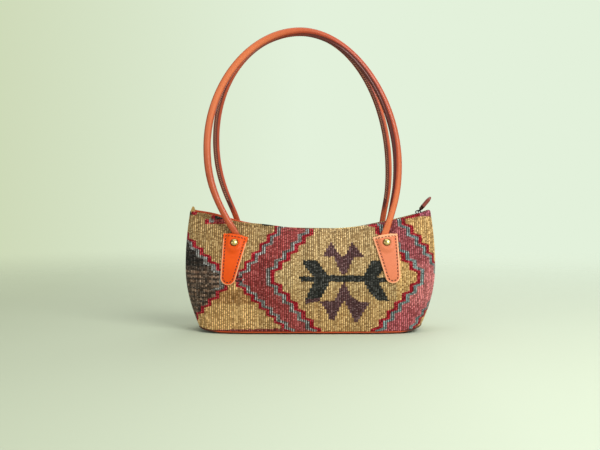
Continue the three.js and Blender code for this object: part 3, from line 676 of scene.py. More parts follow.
def sums(tree, operation, *values):
    made = tree.nodes.new("ShaderNodeMath")
    made.operation = operation
    for socket, value in zip(made.inputs, values):
        feed(tree, socket, value)
    return made.outputs["Value"]


def product(tree, first, *others):
    for value in others:
        first = sums(tree, "MULTIPLY", first, value)
    return first


def blended(tree, share, a, b, how="MIX"):
    made = tree.nodes.new("ShaderNodeMix")
    made.data_type = "RGBA"
    made.blend_type = how
    colours = [socket for socket in made.inputs if socket.type == "RGBA"]
    for socket, value in zip([made.inputs["Factor"], *colours], [share, a, b]):
        feed(tree, socket, value)
    return next(socket for socket in made.outputs if socket.type == "RGBA")


def ranged(tree, value, low, high, to_low, to_high, **settings):
    limits = {"Value": value, "From Min": low, "From Max": high, "To Min": to_low, "To Max": to_high}
    return node(tree, "ShaderNodeMapRange", limits, **settings).outputs["Result"]


def wave(tree, turns, at_whole, at_half):
    """Swings from one value at whole turns to another half way between them."""
    swing = sums(tree, "COSINE", sums(tree, "MULTIPLY", turns, 2 * math.pi))
    return ranged(tree, swing, -1.0, 1.0, at_half, at_whole)


def scatter(tree, column, row):
    """A value from 0 to 1 for each column and row."""
    cell = node(tree, "ShaderNodeCombineXYZ", {"X": column, "Y": row}).outputs["Vector"]
    return node(tree, "ShaderNodeTexWhiteNoise", {"Vector": cell}, noise_dimensions="2D").outputs["Value"]


def painted_mark(tree, name):
    """What paint() left on the piece by this name."""
    return node(tree, "ShaderNodeAttribute", attribute_name=name).outputs["Fac"]


def noise(tree, vector, scale, detail=3.0, roughness=0.55):
    values = {"Vector": vector, "Scale": scale, "Detail": detail, "Roughness": roughness}
    return node(tree, "ShaderNodeTexNoise", values).outputs["Fac"]


def stretched(tree, vector, scale):
    return node(tree, "ShaderNodeMapping", {"Vector": vector, "Scale": scale}).outputs["Vector"]


def bumped(tree, shader, height, distance, strength=1.0):
    values = {"Height": height, "Distance": distance * MM, "Strength": strength}
    bump = node(tree, "ShaderNodeBump", values)
    tree.links.new(bump.outputs["Normal"], shader.inputs["Normal"])


def object_place(tree):
    return node(tree, "ShaderNodeTexCoord").outputs["Object"]


def kilim_finish():
    """Wool weft packed over upright warps: dyed by field, ribbed, streaked and a little fuzzy, with painted
    shade in the grooves between ribs and at the edges of the weft bundles.
    """
    finish, tree, shader = new_finish("kilim_wool")
    settle(shader, roughness=0.95, specular_ior_level=0.15, sheen_weight=0.12, sheen_roughness=0.5)
    cloth = node(tree, "ShaderNodeUVMap", uv_map="weave").outputs["UV"]
    split = node(tree, "ShaderNodeSeparateXYZ", {"Vector": cloth}).outputs
    ribs = sums(tree, "DIVIDE", split["X"], RIB_PITCH * MM)
    rib = sums(tree, "ROUND", ribs)
    crest = wave(tree, ribs, 1.0, 0.0)
    knots = sums(tree, "MULTIPLY_ADD", rib, 0.5, sums(tree, "DIVIDE", split["Y"], KNOT_HEIGHT * MM))
    knot = sums(tree, "FLOOR", knots)
    bead = wave(tree, sums(tree, "SUBTRACT", knots, knot), 0.0, 1.0)
    own = scatter(tree, rib, knot)
    strand = node(tree, "ShaderNodeTexWhiteNoise", {"W": rib}, noise_dimensions="1D").outputs["Value"]
    # Painted shade: the grooves between ribs are painted darker, each to a random depth.
    depth = ranged(tree, scatter(tree, sums(tree, "FLOOR", ribs), knot), 0.0, 1.0, 0.5, 0.9)
    groove_shade = product(tree, depth, ranged(tree, crest, 0.0, 0.7, 1.0, 0.0))
    hollow = sums(tree, "SUBTRACT", 1.0, groove_shade)
    streak = noise(tree, stretched(tree, cloth, (1 / (RIB_PITCH * MM), 230.0, 1.0)), 1.0, 2.0, 0.6)
    heather = noise(tree, stretched(tree, cloth, (900.0, 1500.0, 1.0)), 1.0, 2.0, 0.6)
    abrash = noise(tree, stretched(tree, cloth, (6.0, 70.0, 1.0)), 1.0, 3.0, 0.5)
    light = product(
        tree,
        hollow,
        # The edges of each weft bundle are painted darker too, as painted shade.
        ranged(tree, bead, 0.0, 1.0, 0.78, 1.1),
        ranged(tree, own, 0.0, 1.0, 0.55, 1.45),
        ranged(tree, strand, 0.0, 1.0, 0.8, 1.2),
        ranged(tree, streak, 0.25, 0.75, 0.86, 1.14),
        ranged(tree, heather, 0.3, 0.7, 0.75, 1.25),
        ranged(tree, abrash, 0.3, 0.7, 0.96, 1.04),
        HOLLOWS_MADE_UP,
    )
    dyed = node(tree, "ShaderNodeAttribute", attribute_name="dye").outputs["Color"]
    # Painted shade turns warmer where the wool lies deep.
    warm_shade = ranged(tree, product(tree, hollow, own), 0.1, 0.6, 1.0, 0.0)
    dyed = blended(tree, warm_shade, dyed, SHADED_WOOL, "MULTIPLY")
    coloured = node(tree, "ShaderNodeVectorMath", {0: dyed, "Scale": light}, operation="SCALE")
    coloured = coloured.outputs["Vector"]
    fibres = product(tree, ranged(tree, own, 0.5, 1.0, 0.0, 0.11), hollow, bead)
    fuzzy = node(tree, "ShaderNodeVectorMath", {0: coloured, 1: LOOSE_FIBRE}, operation="ADD")
    fuzzy = blended(tree, fibres, coloured, fuzzy.outputs["Vector"])
    tree.links.new(fuzzy, shader.inputs["Base Color"])
    relief = product(tree, bead, crest)
    height = sums(tree, "MULTIPLY_ADD", relief, 0.6, sums(tree, "MULTIPLY", heather, 0.5))
    bumped(tree, shader, height, 0.4, 0.8)
    return finish


def leather_finish(name, colour, deep, pale, edge, roughness, gloss=0.35, grain=0.12):
    """Smooth dyed leather: clouded colour, a paler painted highlight, fine pores, and edges that were painted
    or burnished; the edge tone also paints shade at the base's ends and beside the handles' seams.
    """
    finish, tree, shader = new_finish(name)
    settle(shader, specular_ior_level=gloss, coat_weight=0.2 * gloss, coat_roughness=0.2)
    place = object_place(tree)
    cloud = noise(tree, place, 55.0, 4.0, 0.6)
    tone = blended(tree, ranged(tree, cloud, 0.32, 0.68, 0.0, 1.0), rgba(*deep), rgba(*colour))
    tone = blended(tree, painted_mark(tree, "painted_highlight"), tone, rgba(*pale))
    worn = painted_mark(tree, "edge")
    fibre = noise(tree, place, 900.0, 2.0)
    edging = ranged(tree, sums(tree, "MULTIPLY_ADD", fibre, 0.3, worn), 0.35, 0.85, 0.0, 1.0)
    tone = blended(tree, edging, tone, rgba(*edge))
    tree.links.new(tone, shader.inputs["Base Color"])
    pores = node(tree, "ShaderNodeTexVoronoi", {"Vector": place, "Scale": 1500.0}).outputs["Distance"]
    crease = noise(tree, place, 420.0, 4.0, 0.65)
    sheen = ranged(tree, crease, 0.3, 0.7, roughness - 0.08, roughness + 0.1)
    tree.links.new(sheen, shader.inputs["Roughness"])
    bumped(tree, shader, sums(tree, "MULTIPLY_ADD", pores, 0.6, crease), grain, 0.6)
    return finish


def brass_finish(name, colour, deep):
    """Brass with fine rubbing marks, and tarnish in its hollows."""
    finish, tree, shader = new_finish(name)
    settle(shader, metallic=1.0)
    place = object_place(tree)
    tarnish = ranged(tree, noise(tree, place, 350.0, 4.0, 0.6), 0.4, 0.75, 0.0, 0.7)
    tone = blended(tree, tarnish, rgba(*colour), rgba(*deep))
    tone = blended(tree, painted_mark(tree, "edge"), tone, rgba(*BRASS_HOLLOW))
    tree.links.new(tone, shader.inputs["Base Color"])
    rubbing_and_highlight = noise(tree, stretched(tree, place, (300.0, 3000.0, 900.0)), 1.0, 2.0)
    tree.links.new(ranged(tree, rubbing_and_highlight, 0.3, 0.7, 0.1, 0.24), shader.inputs["Roughness"])
    bumped(tree, shader, rubbing_and_highlight, 0.03, 0.5)
    return finish


def thread_finish(name, colour):
    """Waxed sewing thread, twisted."""
    finish, tree, shader = new_finish(name)
    settle(shader, roughness=0.6, specular_ior_level=0.3)
    place = object_place(tree)
    tuft = noise(tree, place, 2500.0, 2.0)
    deep = tuple(0.55 * channel for channel in colour)
    tree.links.new(blended(tree, tuft, rgba(*deep), rgba(*colour)), shader.inputs["Base Color"])
    bumped(tree, shader, tuft, 0.08, 0.6)
    return finish


def woven_finish(name, colour, deep, pitch, roughness=0.9):
    """Plain weave: two sets of threads crossing at a pitch in millimetres."""
    finish, tree, shader = new_finish(name)
    settle(shader, roughness=roughness, specular_ior_level=0.15, sheen_weight=0.1)
    place = object_place(tree)
    split = node(tree, "ShaderNodeSeparateXYZ", {"Vector": place})
    turn = 2 * math.pi / (pitch * MM)
    warp = sums(tree, "SINE", sums(tree, "MULTIPLY", split.outputs["X"], turn))
    depth = sums(tree, "ADD", split.outputs["Y"], split.outputs["Z"])
    weft = sums(tree, "SINE", sums(tree, "MULTIPLY", depth, turn))
    weave = ranged(tree, sums(tree, "MULTIPLY", warp, weft), -1.0, 1.0, 0.0, 1.0)
    cloud = noise(tree, place, 120.0, 3.0)
    share = sums(tree, "MULTIPLY_ADD", weave, 0.6, sums(tree, "MULTIPLY", cloud, 0.5))
    tree.links.new(blended(tree, share, rgba(*deep), rgba(*colour)), shader.inputs["Base Color"])
    bumped(tree, shader, weave, 0.15, 0.7)
    return finish


# Kilim pattern, by places across (u) and up (z) the panel
CAMEL_UPPER_LEFT = linear(158, 131, 84)
CAMEL_LOWER_LEFT = linear(194, 158, 102)
CAMEL_MIDDLE = linear(174, 149, 103)
CAMEL_MIDDLE_LOW = linear(178, 146, 95)
CAMEL_RIGHT = linear(190, 156, 99)
CAMEL_ABRASH = linear(146, 104, 58)
CRIMSON = linear(148, 14, 32)
GREY_LEFT = linear(166, 168, 164)
GREY_LEFT_DEEP = linear(30, 32, 34)
GREY_RIGHT = linear(140, 162, 158)
GREY_RIGHT_DEEP = linear(54, 72, 80)
MADDER_LEFT = linear(142, 59, 57)
MADDER_DEEP = linear(124, 48, 48)
MADDER_RIGHT = linear(196, 116, 117)
MADDER_TOP = linear(142, 70, 76)
MADDER_LOW = linear(160, 79, 85)
CHARCOAL = linear(39, 42, 39)
SOOT = linear(22, 22, 20)
EARTH = linear(146, 120, 101)
PLUM = linear(84, 58, 60)
ASH = linear(118, 122, 116)
ROSE = linear(150, 74, 92)
LINE = 1.7  # thickness of the lines that link the steps
TREAD_SLANT = 0.3
BLUNT_APEX = 5  # cut from the point of the left madder field
RAGGED = 0.8  # how unevenly neighbouring ribs end at a level edge
GREY_PICK = 6.7  # height of the lengths of grey wool that differ in tone
CENTRE_PICK = 2.7  # and of those in the diamond's centre
CAMEL_RIGHT_START = 100

# Where one tone turns into another: the place where that starts and the length it takes, up (z) or across (u)
CAMEL_LEFT_UP = (55, 30)
CAMEL_MIDDLE_UP = (25, 40)
CAMEL_ACROSS = (-90, 60)
GREY_ACROSS = (-20, 120)
CENTRE_DARK_UP = (70, 12)
MADDER_ACROSS = (-60, 230)
MADDER_TOP_UP = (66, 26)
MADDER_TOP_ACROSS = (70, 20)
MADDER_LOW_UP = (20, 26)
MADDER_LOW_ACROSS = (50, 30)

# How far in from its stepped edge each field has its grey rim, and then its own colour
DIAMOND_RIMS = (4.4, 10)
MADDER_LEFT_RIMS = (3.6, 7.9)
MADDER_RIGHT_RIMS = (4.7, 9.3)
HEXAGON_LEFT_RIMS = (5, 10)
HEXAGON_RIGHT_RIMS = (5, 9.7)

# Soft patches of another tone: u and z from and to, how far each fades, and how strong the tone is
ABRASH_PATCH = ((-118, -58), (33, 54), 8, 4, 0.75)
DEEP_MADDER_PATCH = ((-80, -44), (50, 92), 10, 14, 0.35)

# Stepped edges: the apex, its lowest and highest rows, and the run and rise of the steps above and below it
HEXAGON_LEFT = (-41.5, 60.5, 72.5, (9.1, 9.7), (9.0, 10.2))
HEXAGON_RIGHT = (124.5, 60.5, 71.5, (-9.5, 10.2), (-9.1, 10.3))
MADDER_LEFT_EDGE = (-95.5, 63.6, 63.3, (8.75, 10.25), (8.75, 8.4))
MADDER_RIGHT_EDGE = (170.0, 42.0, 70.0, (-9.5, 11.0), (-9.0, 8.8))
DIAMOND_EDGE = (-96.0, 51.0, 73.0, (-9.9, 8.6), (-10.1, 9.6))

# Figure in the hexagon
LEFT_ARROW = [
    (-9, 85.5), (7, 85.5), (19, 69.6), (20.5, 61.6), (20.5, 57), (12.5, 43),
    (11.5, 42.5), (-6.5, 40.3), (3.6, 61.2), (3.6, 66), (-9, 81.5),
]
LEFT_STUB = [(-14, 67), (4, 67), (4, 61), (-10, 61)]
LEFT_TIP = [(-6.5, 40.8), (11.8, 43), (11.4, 39), (-4.8, 35.6)]
BAR = [(19, 68.5), (65, 68.5), (65, 61), (19, 61)]
RIGHT_ARROW = [
    (71, 85), (90, 85.5), (84, 74), (78, 67), (79, 60.5), (84, 52), (92, 38),
    (77, 39.5), (69, 48), (62, 60), (62.5, 70),
]
RIGHT_STUB = [(76, 66), (93, 66), (93, 61), (76, 60.5)]
UPPER_WINGS = [
    (14, 89.5), (24, 106), (33, 93), (37.7, 88.5), (42, 93), (49, 106),
    (63, 89.5), (51, 89), (40.5, 69), (36, 69), (27, 89),
]
LOWER_WINGS = [
    (38.5, 62), (36.5, 58), (31.3, 47.5), (28, 39.5), (10.5, 38.5), (18, 28), (22.5, 16.5), (27, 16.5),
    (33, 29), (38.5, 39.5), (44.5, 29), (51, 14.5), (54.5, 14), (61, 25), (69, 37.5), (57, 38),
    (47.4, 44.2), (42.6, 54),
]

# Small bits, most of them left along the edges by the cut: colour, then u and z from and to
SCRAPS = [
    (CRIMSON, (-126, -95), (127, 132.5)),
    (ASH, (-121, -115), (128.5, 133.5)),
    (MADDER_LEFT, (-114, -95), (128.5, 132)),
    (CRIMSON, (-118, -99), (132.5, 138)),
    (CHARCOAL, (-114, -103), (132.5, 136.5)),
    (CRIMSON, (-145, -136), (137.5, 142)),
    (CHARCOAL, (-160, -142.5), (137.5, 150)),
    (GREY_LEFT_DEEP, (-87.6, -79.5), (60.8, 67.2)),
    (MADDER_LEFT, (-87.6, -78.8), (62.4, 65.6)),
    (CHARCOAL, (-58, -44), (124.6, 128)),
    (CRIMSON, (69, 80), (123.8, 127)),
    (ROSE, (131, 165), (136, 150)),
]
TOP_BINDING = [(113, 132), (131, 135.9), (131, 150), (113, 150)]
# A darker wedge of deep madder along the left of the panel's foot.
FOOT_WEDGE = [(-124, 2.6), (-90, 5.6), (-31, 6.8), (-31, 0), (-124, 0)]


def stair(u, z, edge, widen=0.0, lap=0.0):
    """U of a stepped edge, moved by widen, with its rows made taller by lap. Its treads slant a little."""
    apex, low, high, (run_up, rise_up), (run_down, rise_down) = edge
    outward = np.maximum(0, (u - apex - widen) * np.sign(run_up))
    slant = TREAD_SLANT * outward
    up = np.ceil(np.maximum(0, z - slant - high - lap) / (rise_up - TREAD_SLANT * abs(run_up)))
    down = np.ceil(np.maximum(0, low - lap - slant - z) / (rise_down - TREAD_SLANT * abs(run_down)))
    return apex + widen + run_up * up + run_down * down


def within(polygon, u, z):
    hit = np.zeros(u.shape, bool)
    for (u0, z0), (u1, z1) in zip(polygon, polygon[1:] + polygon[:1]):
        if z0 != z1:
            crossing = u0 + (z - z0) / (z1 - z0) * (u1 - u0)
            hit ^= ((z0 > z) != (z1 > z)) & (u < crossing)
    return hit


def speckle(rib, row):
    """An even scatter of values from 0 to 1 by rib and row."""
    return np.modf(np.abs(np.sin(rib * 12.9898 + row * 78.233)) * 43758.5453)[0]


def turning(at, start, length):
    """Share of a second tone: none before a start, and all of it after a length."""
    return smooth((at - start) / length)[..., None]


def soft_patch(u, z, patch):
    """How strong a patch's tone is, falling to nothing at its borders."""
    (u_from, u_to), (z_from, z_to), u_fade, z_fade, strength = patch
    rise = smooth((z - z_from) / z_fade) * smooth((z_to - z) / z_fade)
    run = smooth((u - u_from) / u_fade) * smooth((u_to - u) / u_fade)
    return strength * (rise * run)[..., None]


def kilim_dye(u, z):
    """Colour of the wool at places across and up the panel."""
    rib = np.round(u / RIB_PITCH)
    rib_middle = rib * RIB_PITCH
    crest = 0.5 + 0.5 * np.cos(2 * math.pi * u / RIB_PITCH)

    def field(colour, where):
        dye[where] = np.broadcast_to(colour, dye.shape)[where]

    left = mix(CAMEL_LOWER_LEFT, CAMEL_UPPER_LEFT, turning(z, *CAMEL_LEFT_UP))
    middle = mix(CAMEL_MIDDLE_LOW, CAMEL_MIDDLE, turning(z, *CAMEL_MIDDLE_UP))
    dye = mix(left, middle, turning(u, *CAMEL_ACROSS))
    field(CAMEL_RIGHT, u > CAMEL_RIGHT_START)
    dye = mix(dye, CAMEL_ABRASH, soft_patch(u, z, ABRASH_PATCH))
    strand = crest**1.4 * (0.5 + 0.75 * speckle(rib + 7, np.floor(z / GREY_PICK)))
    strand = np.clip(strand, 0, 1)[..., None]
    grey_left = mix(GREY_LEFT_DEEP, GREY_LEFT, strand)
    grey_right = mix(GREY_RIGHT_DEEP, GREY_RIGHT, strand)
    grey = mix(grey_left, grey_right, turning(u, *GREY_ACROSS))

    rim, inside = DIAMOND_RIMS
    field(CRIMSON, u < stair(u, z, DIAMOND_EDGE))
    past_rim = u < stair(u, z, DIAMOND_EDGE, -rim, -LINE)
    upper = z > DIAMOND_EDGE[1]
    field(grey, past_rim & upper)
    pick = np.floor(z / CENTRE_PICK)
    mottle = speckle(rib, pick) * (0.2 + 0.8 * (np.mod(pick, 2) < 1)) + 0.15 * speckle(rib + 31, 0)
    paleness = mottle[..., None] * (1 - 0.9 * turning(z, *CENTRE_DARK_UP))
    centre = mix(SOOT, EARTH, np.clip(paleness, 0, 1))
    field(centre, (u < stair(u, z, DIAMOND_EDGE, -inside, -2 * LINE)) & upper)
    field(centre, past_rim & ~upper)

    madder = mix(MADDER_LEFT, MADDER_RIGHT, turning(u, *MADDER_ACROSS))
    at_top = turning(z, *MADDER_TOP_UP) * turning(u, *MADDER_TOP_ACROSS)
    at_foot = (1 - turning(z, *MADDER_LOW_UP)) * turning(u, *MADDER_LOW_ACROSS)
    madder = mix(mix(madder, MADDER_TOP, at_top), MADDER_LOW, at_foot)
    madder = mix(madder, MADDER_DEEP, soft_patch(u, z, DEEP_MADDER_PATCH))
    hexagon = (u > stair(u, z, HEXAGON_LEFT)) & (u < stair(u, z, HEXAGON_RIGHT))
    band = (u > stair(u, z, MADDER_LEFT_EDGE)) & (u < stair(u, z, MADDER_RIGHT_EDGE)) & ~hexagon
    band &= u > MADDER_LEFT_EDGE[0] + BLUNT_APEX
    field(CRIMSON, band)
    for depth, colour in enumerate((grey, madder)):
        line = (depth + 1) * LINE
        past_left = u > stair(u, z, MADDER_LEFT_EDGE, MADDER_LEFT_RIMS[depth], -line)
        past_right = u < stair(u, z, MADDER_RIGHT_EDGE, -MADDER_RIGHT_RIMS[depth], -line)
        before_hexagon = u < stair(u, z, HEXAGON_LEFT, -HEXAGON_LEFT_RIMS[depth], line)
        after_hexagon = u > stair(u, z, HEXAGON_RIGHT, HEXAGON_RIGHT_RIMS[depth], line)
        field(colour, band & past_left & past_right & (before_hexagon | after_hexagon))

    for colour, (u_from, u_to), (z_from, z_to) in SCRAPS:
        field(colour, (u > u_from) & (u < u_to) & (z > z_from) & (z < z_to))
    for colour, shapes in (
        (MADDER_DEEP, [FOOT_WEDGE]),
        (CRIMSON, [TOP_BINDING]),
        (PLUM, [UPPER_WINGS, LOWER_WINGS, LEFT_TIP]),
        (CHARCOAL, [LEFT_ARROW, LEFT_STUB, BAR, RIGHT_ARROW, RIGHT_STUB]),
    ):
        for shape in shapes:
            field(colour, within(shape, rib_middle, z + RAGGED * (speckle(rib + 3, 0) - 0.5)))
    return dye


# Kilim panels
REACHES = crowded(4001)
ARC_LINE = wall(BACK, REACHES, ARC_HEIGHT)
ARC = np.concatenate([[0], np.cumsum(np.hypot(np.diff(ARC_LINE[:, 0]), np.diff(ARC_LINE[:, 1])))])
ARC = ARC - ARC[-1] / 2


def cloth_places(points):
    """U of each point of a grid: upright over the front, and by true length round the ends."""
    steps = np.hypot(np.diff(points[..., 0], axis=1), np.diff(points[..., 1], axis=1))
    run = np.concatenate([np.zeros((len(points), 1)), np.cumsum(steps, axis=1)], axis=1)
    run = run - run[:, points.shape[1] // 2][:, None]
    x = points[..., 0]
    upright = np.interp(x, ARC_LINE[:, 0], ARC)
    turn_u = np.interp(UPRIGHT_REACH, ARC_LINE[:, 0], ARC)
    turn_run = np.array([np.interp(UPRIGHT_REACH, row_x, row_run) for row_x, row_run in zip(x, run)])
    beyond = np.sign(x) * (np.abs(run) - turn_run[:, None] + turn_u)
    return np.where(np.abs(x) <= UPRIGHT_REACH, upright, beyond), run


def panel_rows():
    """Shares of a panel's height, close together at its foot and top."""
    fold = np.array(FOLD_ROWS) / (MOUTH_CENTRE_HEIGHT - PANEL_FOOT)
    middle = np.linspace(fold[-1], 1 - fold[-1], PANEL_ROWS)[1:-1]
    return np.concatenate([fold, middle, 1 - fold[::-1]])


def kilim_panel(side_name, side, finish):
    """One ribbed cloth from side seam to side seam, dyed by the pattern."""
    reach = np.interp(np.linspace(ARC[0], ARC[-1], RIB_COUNT * RIB_SAMPLES + 1), ARC, REACHES)
    shares = panel_rows()[:, None]
    top = kilim_top(side, reach)[None]
    z = mix(BASE_BEAD, top, shares)
    smooth_face = wall(side, reach[None], z)
    u, run = cloth_places(smooth_face)
    from_seam = np.minimum(run[:, -1:] - run, run - run[:, :1])
    from_edge = np.minimum(shares, 1 - shares) * (top - BASE_BEAD)
    fall = np.maximum(rolled(from_seam, EDGE_ROLL), rolled(from_edge, EDGE_ROLL))
    hollow = RIB_RELIEF * (0.5 - 0.5 * np.cos(2 * math.pi * u / RIB_PITCH))
    outer = wall(side, reach[None], z, fall + hollow)
    coarse = (slice(None, None, INNER_ROW_STEP), slice(None, None, RIB_SAMPLES))
    inner_z = z[coarse]
    inset = np.full(inner_z.shape, KILIM_THICKNESS)
    inset[[0, -1]] = EDGE_THICKNESS
    inset[:, [0, -1]] = EDGE_THICKNESS
    inner = wall(side, reach[None, ::RIB_SAMPLES], inner_z, inset)
    mesh = two_grid_shell(f"{side_name}_kilim", outer, inner, INNER_ROW_STEP, RIB_SAMPLES, finish)
    seen_u = u if side == FRONT else BACK_SHIFT - u
    dyes = [kilim_dye(seen_u, z), kilim_dye(seen_u[coarse], inner_z)]
    dye = np.concatenate([part.reshape(-1, 3) for part in dyes])
    layer = mesh.color_attributes.new("dye", "FLOAT_COLOR", "POINT")
    layer.data.foreach_set("color", np.column_stack([dye, np.ones(len(dye))]).astype(np.float32).ravel())
    flats = [np.stack([u, z], axis=-1), np.stack([u[coarse], inner_z], axis=-1)]
    places = np.concatenate([part.reshape(-1, 2) for part in flats])
    corner = np.zeros(len(mesh.loops), int)
    mesh.loops.foreach_get("vertex_index", corner)
    weave = mesh.uv_layers.new(name="weave")
    weave.uv.foreach_set("vector", (places[corner] * MM).astype(np.float32).ravel())
    piece = show(f"{side_name}_kilim", mesh)
    dress(piece, "bag", "kilim", f"{side_name}_panel")
    return piece


def two_grid_shell(name, fine, coarse, row_step, column_step, finish):
    """A closed sheet with a fine outer grid and a coarser inner one."""
    rows, columns = fine.shape[:2]
    count = rows * columns
    faces = grid_faces(rows, columns) + grid_faces(*coarse.shape[:2], count)
    index = np.arange(count).reshape(rows, columns)
    back = count + np.arange(coarse.shape[0] * coarse.shape[1]).reshape(coarse.shape[:2])
    for fine_line, coarse_line, step in (
        (index[0], back[0], column_step),
        (index[-1], back[-1], column_step),
        (index[:, 0], back[:, 0], row_step),
        (index[:, -1], back[:, -1], row_step),
    ):
        for k in range(len(coarse_line) - 1):
            run = fine_line[k * step:(k + 1) * step + 1].tolist()
            faces.append(run + [int(coarse_line[k + 1]), int(coarse_line[k])])
    points = np.concatenate([fine.reshape(-1, 3), coarse.reshape(-1, 3)])
    return make_mesh(name, points, faces, finish)


def top_stitches(side_name, side, thread):
    """A row of stitches under each panel's top edge."""
    reach = crowded(240, EDGE_STITCH_REACH)
    z = kilim_top(side, reach) - EDGE_STITCH_DROP
    x = half_length(z) * reach
    path = (on_wall(side, x, z, -STITCH_SINK), wall_normal(side, x, z), False)
    unit = stitch_unit(*EDGE_STITCH)
    piece = repeated(f"{side_name}_edge_stitches", [path], unit, EDGE_STITCH_SPACING, thread)
    return dress(piece, "bag", "kilim")


# Base
def plan_ring(z, inset):
    """Points round the bag's foot, at a height and inset from the panels."""
    turn = full_turn(320)
    reach = np.cos(turn)
    front = wall(FRONT, reach, BASE_BEAD, inset)
    back = wall(BACK, reach, BASE_BEAD, inset)
    ring = np.where((np.sin(turn) < 0)[:, None], front, back)
    ring[:, 2] = z + end_lift(ring[:, 0], z)
    return ring


def leather_base(finish):
    """A leather bottom whose rounded edge shows under the panels."""
    half = (BASE_BEAD - BEAD_FOOT) / 2
    middle = (BASE_BEAD + BEAD_FOOT) / 2
    levels = [(0, inset) for inset in FLOOR_INSETS]
    levels += [(BEAD_FOOT / 2, BASE_TURN_INSET), (BEAD_FOOT, half + BEAD_TUCK)]
    for turn in np.linspace(-math.pi / 2, math.pi / 2, 11)[1:-1]:
        levels.append((middle + half * math.sin(turn), half - BEAD_STAND - half * math.cos(turn)))
    levels += [(BASE_BEAD, half + BEAD_TUCK), (BASE_BEAD, BEAD_BACK_INSET)]
    levels += [(BASE_THICKNESS, inset) for inset in [BASE_TOP_INSET, *FLOOR_INSETS[::-1]]]
    rings = np.stack([plan_ring(z, inset) for z, inset in levels])
    mesh = tube("leather_base", rings, finish)
    # Painted shade: the base's edge is painted dark towards its ends.
    paint(mesh, "edge", smooth((np.abs(rings[..., 0]) - BASE_SHADE_START) / BASE_SHADE_FADE))
    piece = show("leather_base", mesh)
    return dress(piece, "bag", "leather", "base_panel")


def stiff_board(finish):
    """The card that stiffens the base, with its cut edge eased."""
    reach = KILIM_THICKNESS + GAP
    top = PANEL_FOOT + BOARD_THICKNESS
    flat = [*FLOOR_INSETS, reach + BOARD_EASE]
    levels = [(PANEL_FOOT, inset) for inset in flat]
    levels += [(PANEL_FOOT + BOARD_EASE, reach), (top - BOARD_EASE, reach)]
    levels += [(top, inset) for inset in flat[::-1]]
    rings = np.stack([plan_ring(z, inset) for z, inset in levels])
    piece = show("stiff_board", tube("stiff_board", rings, finish))
    return dress(piece, "bag", "board", "base_board")


# Zip strips, tape and teeth
def zip_strip(side_name, side, finish):
    """The leather strip between a panel's edge and the zip, with a rounded top."""
    reach = crowded(241)
    half = STRIP_THICKNESS / 2
    turns = np.linspace(0, math.pi, 9)
    rows = [-STRIP_DEPTH, -5.0, -2.0]
    section = [(0.0, rise) for rise in rows]
    section += [(half - half * math.cos(t), -half + half * math.sin(t)) for t in turns]
    section += [(STRIP_THICKNESS, rise) for rise in rows[::-1]]
    x = reach * MOUTH_HALF_LENGTH
    sink = STRIP_SINK * (1 - bare_strip(side, x) / BARE_STRIP)
    lines = []
    for inset, rise in section:
        at = STRIP_INSET + inset
        top = mouth_line(reach, at) + edge_sway(side, x) - sink
        lines.append(wall(side, reach, top + rise, at))
    piece = show(f"{side_name}_zip_strip_leather", tube("zip_strip", np.stack(lines, axis=1), finish))
    return dress(piece, "bag", "leather", f"{side_name}_zip_strip")


def zip_point(x, y, lift):
    """A place by its X on the mouth's arc, its Y and its lift above that arc."""
    x, y, lift = np.broadcast_arrays(np.asarray(x, float), np.asarray(y, float), lift)
    turn = np.arcsin(x / ZIP_RADIUS)
    radius = ZIP_RADIUS - lift
    return np.stack([radius * np.sin(turn), y, ZIP_CENTRE_HEIGHT - radius * np.cos(turn)], axis=-1)


def tape_reach(side, x):
    """How far the tape reaches out, as far as the zip strip."""
    middle = zip_point(x, 0, TAPE_TOP)
    edge = wall_over(side, middle[:, 0], middle[:, 2], STRIP_INSET + STRIP_THICKNESS)
    return np.maximum(np.abs(edge[:, 1]) - GAP, TAPE_INNER + GAP)


def zip_tape(side_name, side, finish, thread):
    """One half of the zip's tape, sewn along its outer edge."""
    x = np.linspace(-STOP_X, STOP_X, 161)
    outer = tape_reach(side, x)
    shares = np.linspace(0, 1, 7)
    y = side * mix(TAPE_INNER, outer[:, None], shares)
    sag = TAPE_SAG * np.sin(shares * math.pi)[None] * np.ones_like(y)
    top = zip_point(x[:, None], y, TAPE_TOP - sag)
    foot = zip_point(x[:, None], y, TAPE_TOP - TAPE_THICKNESS - sag)
    piece = show(f"{side_name}_tape", shell("zip_tape", top, foot, finish))
    dress(piece, "bag", "zip_tape", f"{side_name}_zip_tape")
    sewn = np.abs(x) < STOP_X - TAPE_SEAM_END
    seam = zip_point(x[sewn], side * (outer[sewn] - TAPE_SEAM_INSET), TAPE_TOP - FINE_STITCH_SINK)
    path = (seam, np.tile([0.0, 0.0, 1.0], (len(seam), 1)), False)
    unit = stitch_unit(*TAPE_STITCH)
    stitches = repeated(f"{side_name}_tape_stitches", [path], unit, TAPE_STITCH_SPACING, thread)
    return dress(stitches, "bag", "zip_tape")


def tape_end(finish):
    """The end of the tape, turned up between the front panel and its strip."""
    aside = TAIL_HALF_WIDTH * np.linspace(-1, 1, 13)[None]
    rise = np.linspace(0, 1, 13)[:, None]
    narrow = 1 - TAIL_NARROWING * smooth((rise - TAIL_NARROW_START) / (1 - TAIL_NARROW_START))
    across = TAIL_MIDDLE + aside * narrow
    z = mix(TAIL_FOOT, TAIL_TOP - TAIL_CROWN * aside**2, rise)
    bow = TAIL_BOW * np.sin(rise * math.pi) * np.ones_like(across)
    face = np.stack([across, TAIL_DEPTH - bow, z], axis=-1)
    back = face + np.array([0.0, TAIL_THICKNESS, 0.0])
    piece = show("tape_end", shell("tape_end", face, back, finish))
    round_edges(piece, TAIL_ROUNDING, 30)
    return dress(piece, "bag", "zip_tape")


